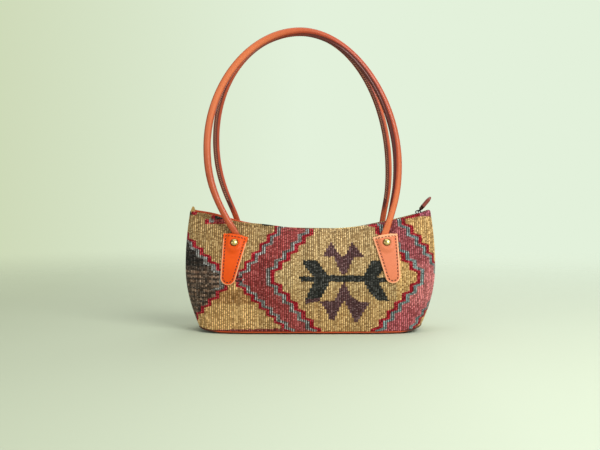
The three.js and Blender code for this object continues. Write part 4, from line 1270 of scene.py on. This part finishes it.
def tooth_unit(finish):
    """One cast zip tooth: a clamp round the tape's edge and a domed head, along -Y."""
    right = [(x, -y) for x, y in TOOTH_HALF_OUTLINE]
    outline = [(-x, y) for x, y in right] + right[::-1]
    levels = [(TEETH_FOOT, 0.85), (TEETH_FOOT + 0.35, 1.0), (TEETH_TOP - 0.45, 1.0), (TEETH_TOP, 0.8)]
    points = [(x * share, y, z) for z, share in levels for x, y in outline]
    rings = np.array(points).reshape(len(levels), len(outline), 3)
    return tube("tooth", rings, finish)


def zip_teeth(side_name, side, finish):
    """A row of teeth that reach in from the tape's edge, half a space apart from the other row."""
    x = np.linspace(-TEETH_END_X, TEETH_END_X, 200) + side * TOOTH_SPACING / 4
    line = zip_point(x, side * TEETH_OUTER, 0)
    if side == FRONT:
        line = line[::-1]
    up = unit_rows(np.array([0.0, 0.0, ZIP_CENTRE_HEIGHT]) - line * np.array([1.0, 0.0, 1.0]))
    piece = repeated(f"{side_name}_teeth", [(line, up, False)], tooth_unit(finish), TOOTH_SPACING, finish)
    return dress(piece, "bag", "brass", f"{side_name}_zip_teeth")


def joint_place(body):
    """Where the joint that moves a body sits, in metres."""
    return next(joint for joint in frame["joints"] if joint["child"] == body)["pos_m"]


def pull_half_width(along):
    """Half width of the pull: a tongue through the link, a shoulder, and a body with a round tip."""
    half = PULL_WIDTH / 2
    widening = smooth((along - PULL_START + PULL_SHOULDER_LEAD) / PULL_SHOULDER)
    body = mix(PULL_TONGUE, half, widening)
    past = np.maximum(0, along - (PULL_TIP - half))
    return np.where(past > 0, np.sqrt(np.maximum(0, half**2 - past**2)), body)


def pull_taper(along):
    """Share of the pull's thickness that is left towards its tip."""
    return 1 - PULL_THINNING * smooth((along - PULL_TIP + PULL_THIN_LENGTH) / PULL_THIN_LENGTH)


def zip_pull(leather, thread):
    """Two layers of leather, folded through the link and sewn together."""
    half = PULL_WIDTH / 2
    round_start = PULL_TIP - half
    place = np.array(joint_place("zip_pull")) / MM
    along_way = np.array([math.cos(PULL_TILT), 0.0, math.sin(PULL_TILT)])
    across_way = np.array([0.0, 1.0, 0.0])
    out_way = np.cross(along_way, across_way)

    def spot(along, across, lift):
        middle = place + along[..., None] * along_way + across[..., None] * across_way
        return middle + lift[..., None] * out_way

    straight = np.linspace(PULL_TONGUE_START, round_start, 40)
    tip = round_start + half * np.sin(np.linspace(0, math.pi / 2, 14)[1:])
    along = np.concatenate([straight, tip])[:, None]
    width = pull_half_width(along)
    across = crowded(21)[None] * width
    along = along * np.ones_like(across)
    from_tip = half - np.hypot(across, np.maximum(0, along - round_start))
    distance = np.where(along > round_start, from_tip, width - np.abs(across))
    distance = np.maximum(0, np.minimum(distance, along - PULL_TONGUE_START))
    groove = PULL_GROOVE_DEPTH * bell(distance - PULL_SEAM_INSET, PULL_GROOVE_WIDTH)
    groove = groove * (along > PULL_START + 1)
    taper = pull_taper(along)
    rise = PULL_THICKNESS / 2 * taper - rolled(distance, PULL_EDGE) * taper - groove
    mesh = shell("zip_pull_leather", spot(along, across, rise), spot(along, across, -rise), leather, MERGE)
    root = (mesh_points(mesh) - place) @ along_way
    paint(mesh, "edge", 1 - smooth((root - PULL_START - 1) / PULL_DARK_LENGTH))
    piece = show("zip_pull_leather", mesh)
    dress(piece, "zip_pull", "leather", "zip_pull_tab")

    inner = half - PULL_SEAM_INSET
    turns = np.linspace(-math.pi / 2, math.pi / 2, 13)
    start = PULL_START + PULL_SHOULDER
    seam_along = np.concatenate([[start], round_start + inner * np.cos(turns), [start]])
    seam_across = np.concatenate([[-inner], inner * np.sin(turns), [inner]])
    lift = PULL_THICKNESS / 2 * pull_taper(seam_along) - FINE_STITCH_SINK
    loops = []
    for facing in (1, -1):
        line = spot(seam_along, seam_across, facing * lift)
        loops.append((line, np.tile(out_way * facing, (len(line), 1)), True))
    unit = stitch_unit(*PULL_STITCH)
    stitches = repeated("zip_pull_stitches", loops, unit, PULL_STITCH_SPACING, thread)
    return dress(stitches, "zip_pull", "leather")


# Tabs: places by distances across and down from the middle of a tab's top edge
def tab_place(hand, across, down):
    down = TAB_STRETCH[hand] * down
    x = hand * (TAB_SPREAD_TOP + TAB_AXIS[0] * down) - TAB_AXIS[1] * across
    z = TAB_TOP_HEIGHT + TAB_AXIS[1] * down + hand * TAB_AXIS[0] * across
    return x, z


def tab_point(side, hand, across, down, lift):
    x, z = tab_place(hand, np.asarray(across, float), np.asarray(down, float))
    return on_wall(side, x, z, lift)


def tab_lift(across, down):
    """The tab lies on the panel and rises over the flattened handle end."""
    past = np.maximum(0, down - POCKET_LENGTH + POCKET_HALF_WIDTH)
    rise = smooth(1 - (np.hypot(across, past) - POCKET_HALF_WIDTH) / POCKET_RAMP)
    dimple = DIMPLE_DEPTH * bell(np.hypot(across, down - RIVET_DROP), DIMPLE_SPREAD)
    return GAP + POCKET_LIFT * rise - dimple


def tab_half_width(down):
    plain = mix(TAB_TOP_WIDTH, 2 * TAB_FOOT_RADIUS, np.clip(down / TAB_FOOT_START, 0, 1)) / 2
    corner = rolled(down, TAB_CORNER)
    foot = np.sqrt(np.maximum(0, TAB_FOOT_RADIUS**2 - np.maximum(0, down - TAB_FOOT_START) ** 2))
    return np.where(down > TAB_FOOT_START, foot, plain - corner)


def tab_border_distance(across, down):
    """Distance from places on a tab to its outline."""
    slope = (TAB_TOP_WIDTH / 2 - TAB_FOOT_RADIUS) / TAB_FOOT_START
    border_across = mix(TAB_TOP_WIDTH / 2, TAB_FOOT_RADIUS, down / TAB_FOOT_START)
    from_side = (border_across - np.abs(across)) / math.hypot(1, slope)
    from_foot = TAB_FOOT_RADIUS - np.hypot(across, np.maximum(0, down - TAB_FOOT_START))
    return np.minimum(down, np.where(down > TAB_FOOT_START, from_foot, from_side))


def tab_marks(mesh, hand):
    """How pale each point of a tab is: rubbed at the rim, with a painted highlight on the right tabs' rims,
    and a little in the stitched groove.
    """
    x, z = tab_place(hand, 0.0, 0.0)
    place = mesh_points(mesh)
    offset = np.stack([place[:, 0] - x, place[:, 2] - z], axis=-1)
    axis = TAB_AXIS * np.array([hand, 1])
    across = np.abs(offset @ np.array([-axis[1], axis[0]]))
    down = offset @ axis / TAB_STRETCH[hand]
    from_border = tab_border_distance(across, np.maximum(down, 0))
    groove = GROOVE_MARK * bell(from_border - SEAM_INSET, GROOVE_MARK_WIDTH)
    rim = 1 - smooth((from_border - RIM_PALE) / RIM_FADE)
    return mix(*RIM_RUB_AND_HIGHLIGHT[hand], smooth((down - RIM_RUB_START) / RIM_RUB_FADE)) * np.maximum(rim, groove)


def tab(side_name, side, hand_name, hand, finish):
    """A leather tab that narrows to a round foot and lies over the handle's flattened end."""
    middle = np.linspace(TAB_TOP_ROWS[-1], TAB_FOOT_START, 60)[1:]
    foot = TAB_FOOT_START + TAB_FOOT_RADIUS * np.sin(np.linspace(0, math.pi / 2, 16)[1:])
    down = np.concatenate([TAB_TOP_ROWS, middle, foot])[:, None]
    across = crowded(71)[None] * tab_half_width(down)
    down = down * np.ones_like(across)
    distance = np.maximum(tab_border_distance(across, down), 0)
    lift = tab_lift(across, down)
    groove = GROOVE_DEPTH * bell(distance - SEAM_INSET, GROOVE_WIDTH)
    face = tab_point(side, hand, across, down, lift + TAB_THICKNESS - rolled(distance, TAB_EDGE) - groove)
    under = tab_point(side, hand, across, down, lift)
    name = f"{side_name}_{hand_name}_tab_leather"
    mesh = shell(name, face, under, finish, MERGE)
    paint(mesh, "edge", tab_marks(mesh, hand))
    # Painted highlight: the right tabs are painted paler all over, for the shine of the light from the right.
    paint(mesh, "painted_highlight", np.full(len(mesh.vertices), TAB_PAINTED_HIGHLIGHT[hand]))
    piece = show(name, mesh)
    return dress(piece, "bag", "tab_leather", f"{side_name}_{hand_name}_tab")


def tab_seam(side, hand):
    """The stitched line inside a tab's edges, as points and outward directions."""
    radius = TAB_FOOT_RADIUS - SEAM_INSET
    down = np.linspace(SEAM_INSET, TAB_FOOT_START, 30)
    right = np.stack([tab_half_width(down) - SEAM_INSET, down], axis=-1)
    turns = np.linspace(0, math.pi, 17)[1:-1]
    foot = np.stack([radius * np.cos(turns), TAB_FOOT_START + radius * np.sin(turns)], axis=-1)
    left = right[::-1] * np.array([-1, 1])
    top = np.linspace(left[-1], right[0], 14)[1:-1]
    loop = np.concatenate([right, foot, left, top])
    lift = tab_lift(loop[:, 0], loop[:, 1]) + TAB_THICKNESS - STITCH_SINK
    x, z = tab_place(hand, loop[:, 0], loop[:, 1])
    return on_wall(side, x, z, lift), wall_normal(side, x, z), True


def rivet_profile(dome):
    """Radius and height of a rivet's turned outline, from its post to the top of its dome."""
    low = RIVET_SEAT - RIVET_LIP
    high = RIVET_SEAT + RIVET_LIP
    profile = [(NEEDLE, -RIVET_REACH), (RIVET_POST_RADIUS, -RIVET_REACH), (RIVET_POST_RADIUS, low)]
    profile += [(RIVET_RADIUS - 0.3, low), (RIVET_RADIUS, RIVET_SEAT - RIVET_LIP / 2)]
    profile += [(RIVET_RADIUS, RIVET_SEAT + RIVET_LIP / 2), (RIVET_RADIUS - 0.35, high)]
    for turn in np.linspace(0, math.pi / 2, 10):
        rise = (RIVET_DOME - RIVET_LIP) * math.sin(turn)
        profile.append((max(NEEDLE, dome * math.cos(turn)), high + rise))
    return profile


def rivet(side_name, side, hand_name, hand, finish):
    """A domed cap on a turned post."""
    dome = RIVET_RADIUS - 0.45
    profile = rivet_profile(dome)
    x, z = (np.array(value) for value in tab_place(hand, 0.0, RIVET_DROP))
    seat = wall_over(side, x, z)
    normal = wall_normal(side, x, z)
    sideways = unit_rows(np.cross(normal, [0.0, 0.0, 1.0]))
    upward = np.cross(sideways, normal)
    turns = full_turn(40)
    circle = np.cos(turns)[:, None] * sideways + np.sin(turns)[:, None] * upward
    rings = np.stack([seat + normal * height + circle * radius for radius, height in profile])
    name = f"{side_name}_{hand_name}_rivet_cap"
    mesh = tube(name, rings, finish)
    dark_start = dome * 0.8
    dark = [smooth((radius - dark_start) / (RIVET_RADIUS - dark_start)) for radius, height in profile]
    paint(mesh, "edge", np.repeat(dark, len(turns)))
    piece = show(name, mesh)
    return dress(piece, "bag", "brass", f"{side_name}_{hand_name}_rivet")


# Handles
def bezier(corners):
    """A smooth line from the first corner to the last, drawn towards the two between."""
    t = np.linspace(0, 1, 240)[:, None]
    a, b, c, d = (np.array(corner, float) for corner in corners)
    return a * (1 - t) ** 3 + 3 * b * t * (1 - t) ** 2 + 3 * c * t**2 * (1 - t) + d * t**3


def handle_loop(form):
    """The loop in its own plane, from the left foot to the right one."""
    top = np.array([form["top_x"], HANDLE_TOP_HEIGHT - HANDLE_FOOT_HEIGHT])
    legs = {}
    for name, hand in HANDS.items():
        leg = form[name]
        start = np.array([hand * TAB_SPREAD_TOP, 0.0])
        wide = np.array([hand * leg["half_width"], leg["height"] - HANDLE_FOOT_HEIGHT])
        lean = math.radians(leg["lean"])
        first = start + leg["pull"] * np.array([hand * math.sin(lean), math.cos(lean)])
        last = wide - np.array([0, leg["wide_pull"]])
        rise = np.array([wide[0], mix(wide[1], top[1], leg["arch"])])
        level = np.array([mix(top[0], wide[0], leg["arch"]), top[1]])
        lower = bezier([start, first, last, wide])
        upper = bezier([wide, rise, level, top])
        legs[name] = np.concatenate([lower[:-1], upper])
    return np.concatenate([legs["left"], legs["right"][::-1][1:]])


def even_along(line, count):
    """Points evenly spaced along a line, and how far along it each one is."""
    lengths = np.concatenate([[0], np.cumsum(np.linalg.norm(np.diff(line, axis=0), axis=1))])
    at = np.linspace(0, lengths[-1], count)
    return np.stack([np.interp(at, lengths, line[:, k]) for k in range(line.shape[1])], axis=-1), at


def handle_section(flange, radius, painted_turn):
    """Points round the roll and over its sewn edge: along the edge, aside from it, how painted, how clear."""
    half = FLANGE_HALF_THICKNESS
    start = math.asin(half / radius)
    turns = np.linspace(start, 2 * math.pi - start, 30)
    open_rise = radius * (1 - math.cos(start)) + FLANGE_RISE
    reach = radius * math.cos(start) + mix(FLANGE_CLOSED, open_rise, flange)
    from_seam = np.minimum(turns, 2 * math.pi - turns)
    painted = smooth((painted_turn - from_seam) / PAINT_FADE)
    clear = smooth((from_seam - painted_turn) / HIGHLIGHT_CLEAR_FADE)
    rounds = np.stack([radius * np.cos(turns), radius * np.sin(turns), painted, clear], axis=-1)
    rim = [(reach - 0.5, -half), (reach - 0.1, -half + 0.35), (reach, -0.5), (reach - 0.1, -0.2)]
    slit = [(reach - 0.1 - 0.4 * flange, 0.0)]
    back = [(along, -aside) for along, aside in reversed(rim)]
    edge = [(along, aside, 1.0, 0.0) for along, aside in rim + slit + back]
    return np.concatenate([rounds, edge])


def handle_end(side, hand):
    """The flattened end under a tab: its middle line, the ways across it and the ways it faces."""
    down = np.linspace(HANDLE_END_LENGTH, 0, HANDLE_END_ROWS)
    lift = GAP + HANDLE_END_THICKNESS / 2
    middle, right, left = (tab_point(side, hand, across, down, lift) for across in (0.0, 1.0, -1.0))
    facing = -side * wall_normal(side, *tab_place(hand, 0.0, down))
    return middle, hand * unit_rows(right - left), facing


def with_ends(values, end=None):
    """Values along the loop, with those of its flattened ends: one value, or the loop's first and last."""
    first, last = (values[0], values[-1]) if end is None else (end, end)
    ends = np.ones(HANDLE_END_ROWS)
    return np.concatenate([first * ends, values, last * ends])


def listed(share, values):
    """Values listed evenly along the handle, read at shares of its length."""
    return with_ends(np.interp(share, np.linspace(0, 1, len(values)), values))


def rolled_handle(name, side, form, finish, thread):
    """Leather rolled round a cord and sewn along a flange, flattened where it goes under its tabs."""
    body = f"{name}_handle"
    loop, at = even_along(handle_loop(form), HANDLE_RINGS)
    tangent = unit_rows(np.gradient(loop, axis=0))
    foot = wall_over(side, np.array(float(TAB_SPREAD_TOP)), np.array(HANDLE_FOOT_HEIGHT))
    stand = (GAP + HANDLE_END_THICKNESS + GAP) / abs(wall_normal(side, foot[0], foot[2])[1])
    start_y = foot[1] + side * stand
    lean = (side * HANDLE_TOP_SPREAD - start_y) / (HANDLE_TOP_HEIGHT - HANDLE_FOOT_HEIGHT)
    centre = np.stack([loop[:, 0], start_y + lean * loop[:, 1], HANDLE_FOOT_HEIGHT + loop[:, 1]], axis=-1)
    from_end = np.minimum(at, at[-1] - at)
    share = at / at[-1]
    roundness = smooth(from_end / HANDLE_FLAT_LENGTH)
    foot_edge = np.where((share < 0.5)[:, None], [TAB_AXIS[1], TAB_AXIS[0]], [-TAB_AXIS[1], TAB_AXIS[0]])
    across = mix(foot_edge, np.stack([-tangent[:, 1], tangent[:, 0]], axis=-1), roundness[:, None])
    outward = unit_rows(np.stack([across[:, 0], across[:, 1] * lean, across[:, 1]], axis=-1))
    normal = np.tile(np.array([0.0, -1.0, lean]) / math.hypot(1, lean), (len(centre), 1))
    parts = zip(handle_end(side, LEFT), (centre, outward, normal), handle_end(side, RIGHT))
    centre, outward, normal = (np.concatenate([left, middle, right[::-1]]) for left, middle, right in parts)
    wide = with_ends(mix(HANDLE_FOOT_SPREAD, 1.0, roundness), HANDLE_FOOT_SPREAD)[:, None]
    thick = with_ends(mix(HANDLE_FLAT_SHARE, 1.0, roundness), HANDLE_END_SHARE)[:, None]
    flange = with_ends(smooth((from_end - FLANGE_START) / FLANGE_FADE), 0)
    fullness = mix(ROLL_FOOT_SHARE, 1.0, smooth((from_end - ROLL_START) / ROLL_FADE))
    radius = with_ends(form["radius"] * fullness)
    turns = with_ends(np.radians(np.interp(share, *form["seam"])))[:, None]

    sections = np.stack([handle_section(*values, form["painted_turn"]) for values in zip(flange, radius)])
    along, aside, painted, clear = np.moveaxis(sections, -1, 0)
    inward = np.cos(turns) * along - np.sin(turns) * aside
    viewward = np.sin(turns) * along + np.cos(turns) * aside
    rings = (
        centre[:, None]
        - outward[:, None] * (inward * wide)[..., None]
        + normal[:, None] * (viewward * thick)[..., None]
    )
    mesh = tube(f"{name}_rolled_handle", rings, finish)
    # Dark paint: the sewn edge's own paint, widened round the roll as painted shade.
    paint(mesh, "edge", painted * (flange * listed(share, form["paint"]))[:, None])
    # Painted highlight: the roll is painted paler where it faces the front or back, clear of the dark paint.
    facing = np.abs(viewward) / np.hypot(inward, viewward)
    rubbing_and_highlight = smooth((facing - HIGHLIGHT_FACING_START) / HIGHLIGHT_FACING_FADE) * mix(1.0, clear, flange[:, None])
    paint(mesh, "painted_highlight", rubbing_and_highlight * listed(share, form["highlight_share"])[:, None])
    piece = show(f"{name}_rolled_handle", mesh)
    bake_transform(piece)
    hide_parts(body, f"{name}_left_handle_end", f"{name}_right_handle_end")

    sewn = flange > FLANGE_SEWN
    out = normal * np.sin(turns) - outward * np.cos(turns)
    line = centre + out * (radius + FLANGE_RISE)[:, None]
    path = (line[sewn], out[sewn], False)
    unit = stitch_unit(*HANDLE_STITCH, HANDLE_STITCH_TURN)
    stitches = repeated(f"{name}_handle_stitches", [path], unit, HANDLE_STITCH_SPACING, thread)
    return dress(stitches, body, "leather")


# Lining
def cotton_lining(finish):
    """A cotton sack that hangs from the zip strips and lies on the board."""
    turn = full_turn(200)
    reach = np.cos(turn)
    front = (np.sin(turn) < 0)[:, None]

    def ring(row, inset, floor):
        z = mix(floor, mouth_line(reach, inset) - LINING_SINK, row / LINING_ROWS)
        return np.where(front, wall(FRONT, reach, z, inset), wall(BACK, reach, z, inset))

    rows = np.arange(LINING_ROWS + 1)
    inner_floor = LINING_FOOT + LINING_THICKNESS
    rings = [ring(0, inset, LINING_FOOT) for inset in FLOOR_INSETS]
    rings += [ring(row, LINING_INSET, LINING_FOOT) for row in rows]
    rings += [ring(row, LINING_INSET + LINING_THICKNESS, inner_floor) for row in rows[::-1]]
    rings += [ring(0, inset, inner_floor) for inset in FLOOR_INSETS[::-1]]
    piece = show("cotton_lining", tube("cotton_lining", np.stack(rings), finish))
    dress(piece, "bag", "lining", "lining")
    return piece


# Stage: camera, light and floor, in metres
LAMPS = [  # name, place, size, power and colour
    ("key", (0.75, -0.95, 0.95), 0.8, 16.5, (1.0, 0.98, 0.95)),
    ("top", (-0.1, 0.25, 1.4), 1.2, 4.0, (1.0, 1.0, 1.0)),
    ("fill", (-1.2, -0.9, 0.5), 1.0, 3.0, (0.96, 0.98, 1.0)),
    ("rear", (0.5, 1.4, 0.7), 1.2, 7.0, (1.0, 0.99, 0.97)),
]
LAMP_AIM = np.array([0.0, 0.0, 0.12])
ROOM_LIGHT = (1.0, 0.99, 0.96, 1.0)
ROOM_STRENGTH = 0.48
# Wall and floor colours: darker to the left, painted shade of the light from the right.
WALL_LEFT = rgba(206, 217, 183)
WALL_RIGHT = rgba(227, 241, 219)
FLOOR_LEFT = rgba(182, 192, 166)
FLOOR_RIGHT = rgba(204, 216, 194)
FLOOR_REACH = 1.6
FLOOR_HEIGHT = -0.0003


def place_camera(scene):
    camera = bpy.data.objects.new("camera", bpy.data.cameras.new("camera"))
    camera.data.lens = CAMERA_LENS
    camera.data.sensor_width = CAMERA_SENSOR
    camera.data.clip_start = 0.01
    camera.location = np.array(CAMERA_PLACE) * MM
    camera.rotation_euler = (math.pi / 2 - CAMERA_PITCH, 0, 0)
    scene.collection.objects.link(camera)
    scene.camera = camera


def light_room(scene):
    """An even light, a brighter right side for what shines, and a wall for the camera that is painted darker
    to the left, as painted shade.
    """
    world = bpy.data.worlds.new("studio")
    scene.world = world
    world.use_nodes = True
    tree = world.node_tree
    tree.nodes.clear()
    rays = node(tree, "ShaderNodeLightPath").outputs
    way = node(tree, "ShaderNodeTexCoord").outputs["Generated"]
    split = node(tree, "ShaderNodeSeparateXYZ", {"Vector": way}).outputs
    backdrop = blended(tree, ranged(tree, split["X"], -0.34, 0.0, 0.0, 1.0), WALL_LEFT, WALL_RIGHT)
    window = ranged(tree, split["X"], -0.7, 0.5, 0.25, 1.2)
    window = product(tree, window, ranged(tree, split["Y"], -0.3, 0.4, 1.0, 0.3))
    even = node(tree, "ShaderNodeBackground", {"Color": ROOM_LIGHT, "Strength": ROOM_STRENGTH})
    shining = node(tree, "ShaderNodeBackground", {"Color": backdrop, "Strength": window})
    plain = node(tree, "ShaderNodeBackground", {"Color": backdrop, "Strength": 1.0})
    light = {0: rays["Is Glossy Ray"], 1: even.outputs[0], 2: shining.outputs[0]}
    light = node(tree, "ShaderNodeMixShader", light)
    seen = {0: rays["Is Camera Ray"], 1: light.outputs[0], 2: plain.outputs[0]}
    seen = node(tree, "ShaderNodeMixShader", seen)
    node(tree, "ShaderNodeOutputWorld", {"Surface": seen.outputs[0]})


def hang_lamps(scene):
    for name, place, size, power, colour in LAMPS:
        data = bpy.data.lights.new(name, "AREA")
        data.size = size
        data.energy = power
        data.color = colour
        lamp = bpy.data.objects.new(name, data)
        lamp.location = place
        aim = LAMP_AIM - np.array(place)
        lamp.rotation_euler = Vector(aim).to_track_quat("-Z", "Y").to_euler()
        lamp.visible_camera = False
        scene.collection.objects.link(lamp)


def lay_floor():
    """A pale floor that fades away into the wall, painted darker to the left as painted shade."""
    mesh = bpy.data.meshes.new("floor")
    corners = [(-1, -1), (1, -1), (1, 1), (-1, 1)]
    places = [(x * FLOOR_REACH, y * FLOOR_REACH, FLOOR_HEIGHT) for x, y in corners]
    mesh.from_pydata(places, [], [(0, 1, 2, 3)])
    floor = show("floor", mesh)
    finish, tree, shader = new_finish("pale_floor")
    settle(shader, roughness=0.9, specular_ior_level=0.1)
    place = object_place(tree)
    away = node(tree, "ShaderNodeVectorMath", {0: place}, operation="LENGTH").outputs["Value"]
    fade = ranged(tree, away, 0.1, 1.55, 1.0, 0.0, interpolation_type="SMOOTHSTEP")
    tree.links.new(fade, shader.inputs["Alpha"])
    sideways = node(tree, "ShaderNodeSeparateXYZ", {"Vector": place}).outputs["X"]
    tone = blended(tree, ranged(tree, sideways, -0.45, 0.15, 0.0, 1.0), FLOOR_LEFT, FLOOR_RIGHT)
    tree.links.new(tone, shader.inputs["Base Color"])
    mesh.materials.append(finish)


bpy.context.scene.view_settings.view_transform = "Standard"
place_camera(bpy.context.scene)
light_room(bpy.context.scene)
hang_lamps(bpy.context.scene)
lay_floor()

# Finishes: for leather its colour, the deeper and paler tones, the edge's colour and the roughness
kilim = kilim_finish()
handle_leather = leather_finish(
    "handle_leather", (178, 66, 30), (156, 52, 22), (220, 118, 70), (94, 36, 30), 0.36, gloss=0.42
)
tab_leather = leather_finish(
    "tab_leather", (230, 84, 0), (218, 76, 0), (218, 130, 92), (248, 178, 132), 0.5, gloss=0.22
)
# The base leather's edge colour is the dark of its painted shade.
base_leather = leather_finish("base_leather", (198, 77, 23), (176, 65, 17), (216, 102, 46), (86, 34, 19), 0.5)
pull_leather = leather_finish("pull_leather", (146, 66, 56), (120, 50, 44), (160, 80, 60), (80, 40, 34), 0.5)
brass = brass_finish("brass", (246, 218, 150), (196, 150, 80))
dark_brass = brass_finish("dark_brass", (46, 32, 31), (24, 16, 16))
dark_thread = thread_finish("dark_thread", (84, 44, 34))
seam_thread = thread_finish("seam_thread", (226, 160, 124))
wine_thread = thread_finish("wine_thread", (150, 84, 70))
brown_thread = thread_finish("brown_thread", (120, 92, 60))
tape_cloth = woven_finish("zip_tape_cloth", (74, 52, 42), (44, 30, 26), 0.8)
tail_cloth = woven_finish("tail_cloth", (206, 172, 108), (128, 98, 52), 0.8)
lining_cotton = woven_finish("lining_cotton", (150, 134, 110), (120, 104, 84), 0.6)
board_card = woven_finish("board_card", (160, 138, 106), (138, 116, 88), 1.6)
cord_cotton = woven_finish("cord_cotton", (222, 212, 190), (190, 178, 154), 1.2)

# Pieces
leather_base(base_leather)
stiff_board(board_card)
cotton_lining(lining_cotton)
for side_name, side in SIDES.items():
    kilim_panel(side_name, side, kilim)
    top_stitches(side_name, side, brown_thread)
    zip_strip(side_name, side, base_leather)
    zip_tape(side_name, side, tape_cloth, dark_thread)
    zip_teeth(side_name, side, brass)
    for hand_name, hand in HANDS.items():
        tab(side_name, side, hand_name, hand, tab_leather)
        rivet(side_name, side, hand_name, hand, brass)
    seams = [tab_seam(side, hand) for hand in HANDS.values()]
    unit = stitch_unit(*TAB_STITCH)
    stitches = repeated(f"{side_name}_tab_stitches", seams, unit, TAB_STITCH_SPACING, dark_thread)
    dress(stitches, "bag", "tab_leather")
rolled_handle("front", FRONT, FRONT_HANDLE, handle_leather, wine_thread)
rolled_handle("back", BACK, BACK_HANDLE, handle_leather, seam_thread)
tape_end(tail_cloth)
zip_pull(pull_leather, dark_thread)
for node_name, body, width, metal in (
    ("zip_slider", "zip_slider", 0.35, dark_brass),
    ("zip_pull_link", "zip_pull", 0.45, dark_brass),
    ("zip_end_stop", "bag", 0.5, brass),
    ("front_zip_top_stop", "bag", 0.35, brass),
    ("back_zip_top_stop", "bag", 0.35, brass),
):
    dress(softened(f"{node_name}_brass", node_name, width, metal), body, "brass", node_name)

# CAD nodes that stay, inside the bag and the handles
for node_name, piece in frame["nodes"].items():
    if piece.hide_render:
        continue
    piece.data.materials.clear()
    piece.data.materials.append(cord_cotton if node_name.endswith("_core") else brass)
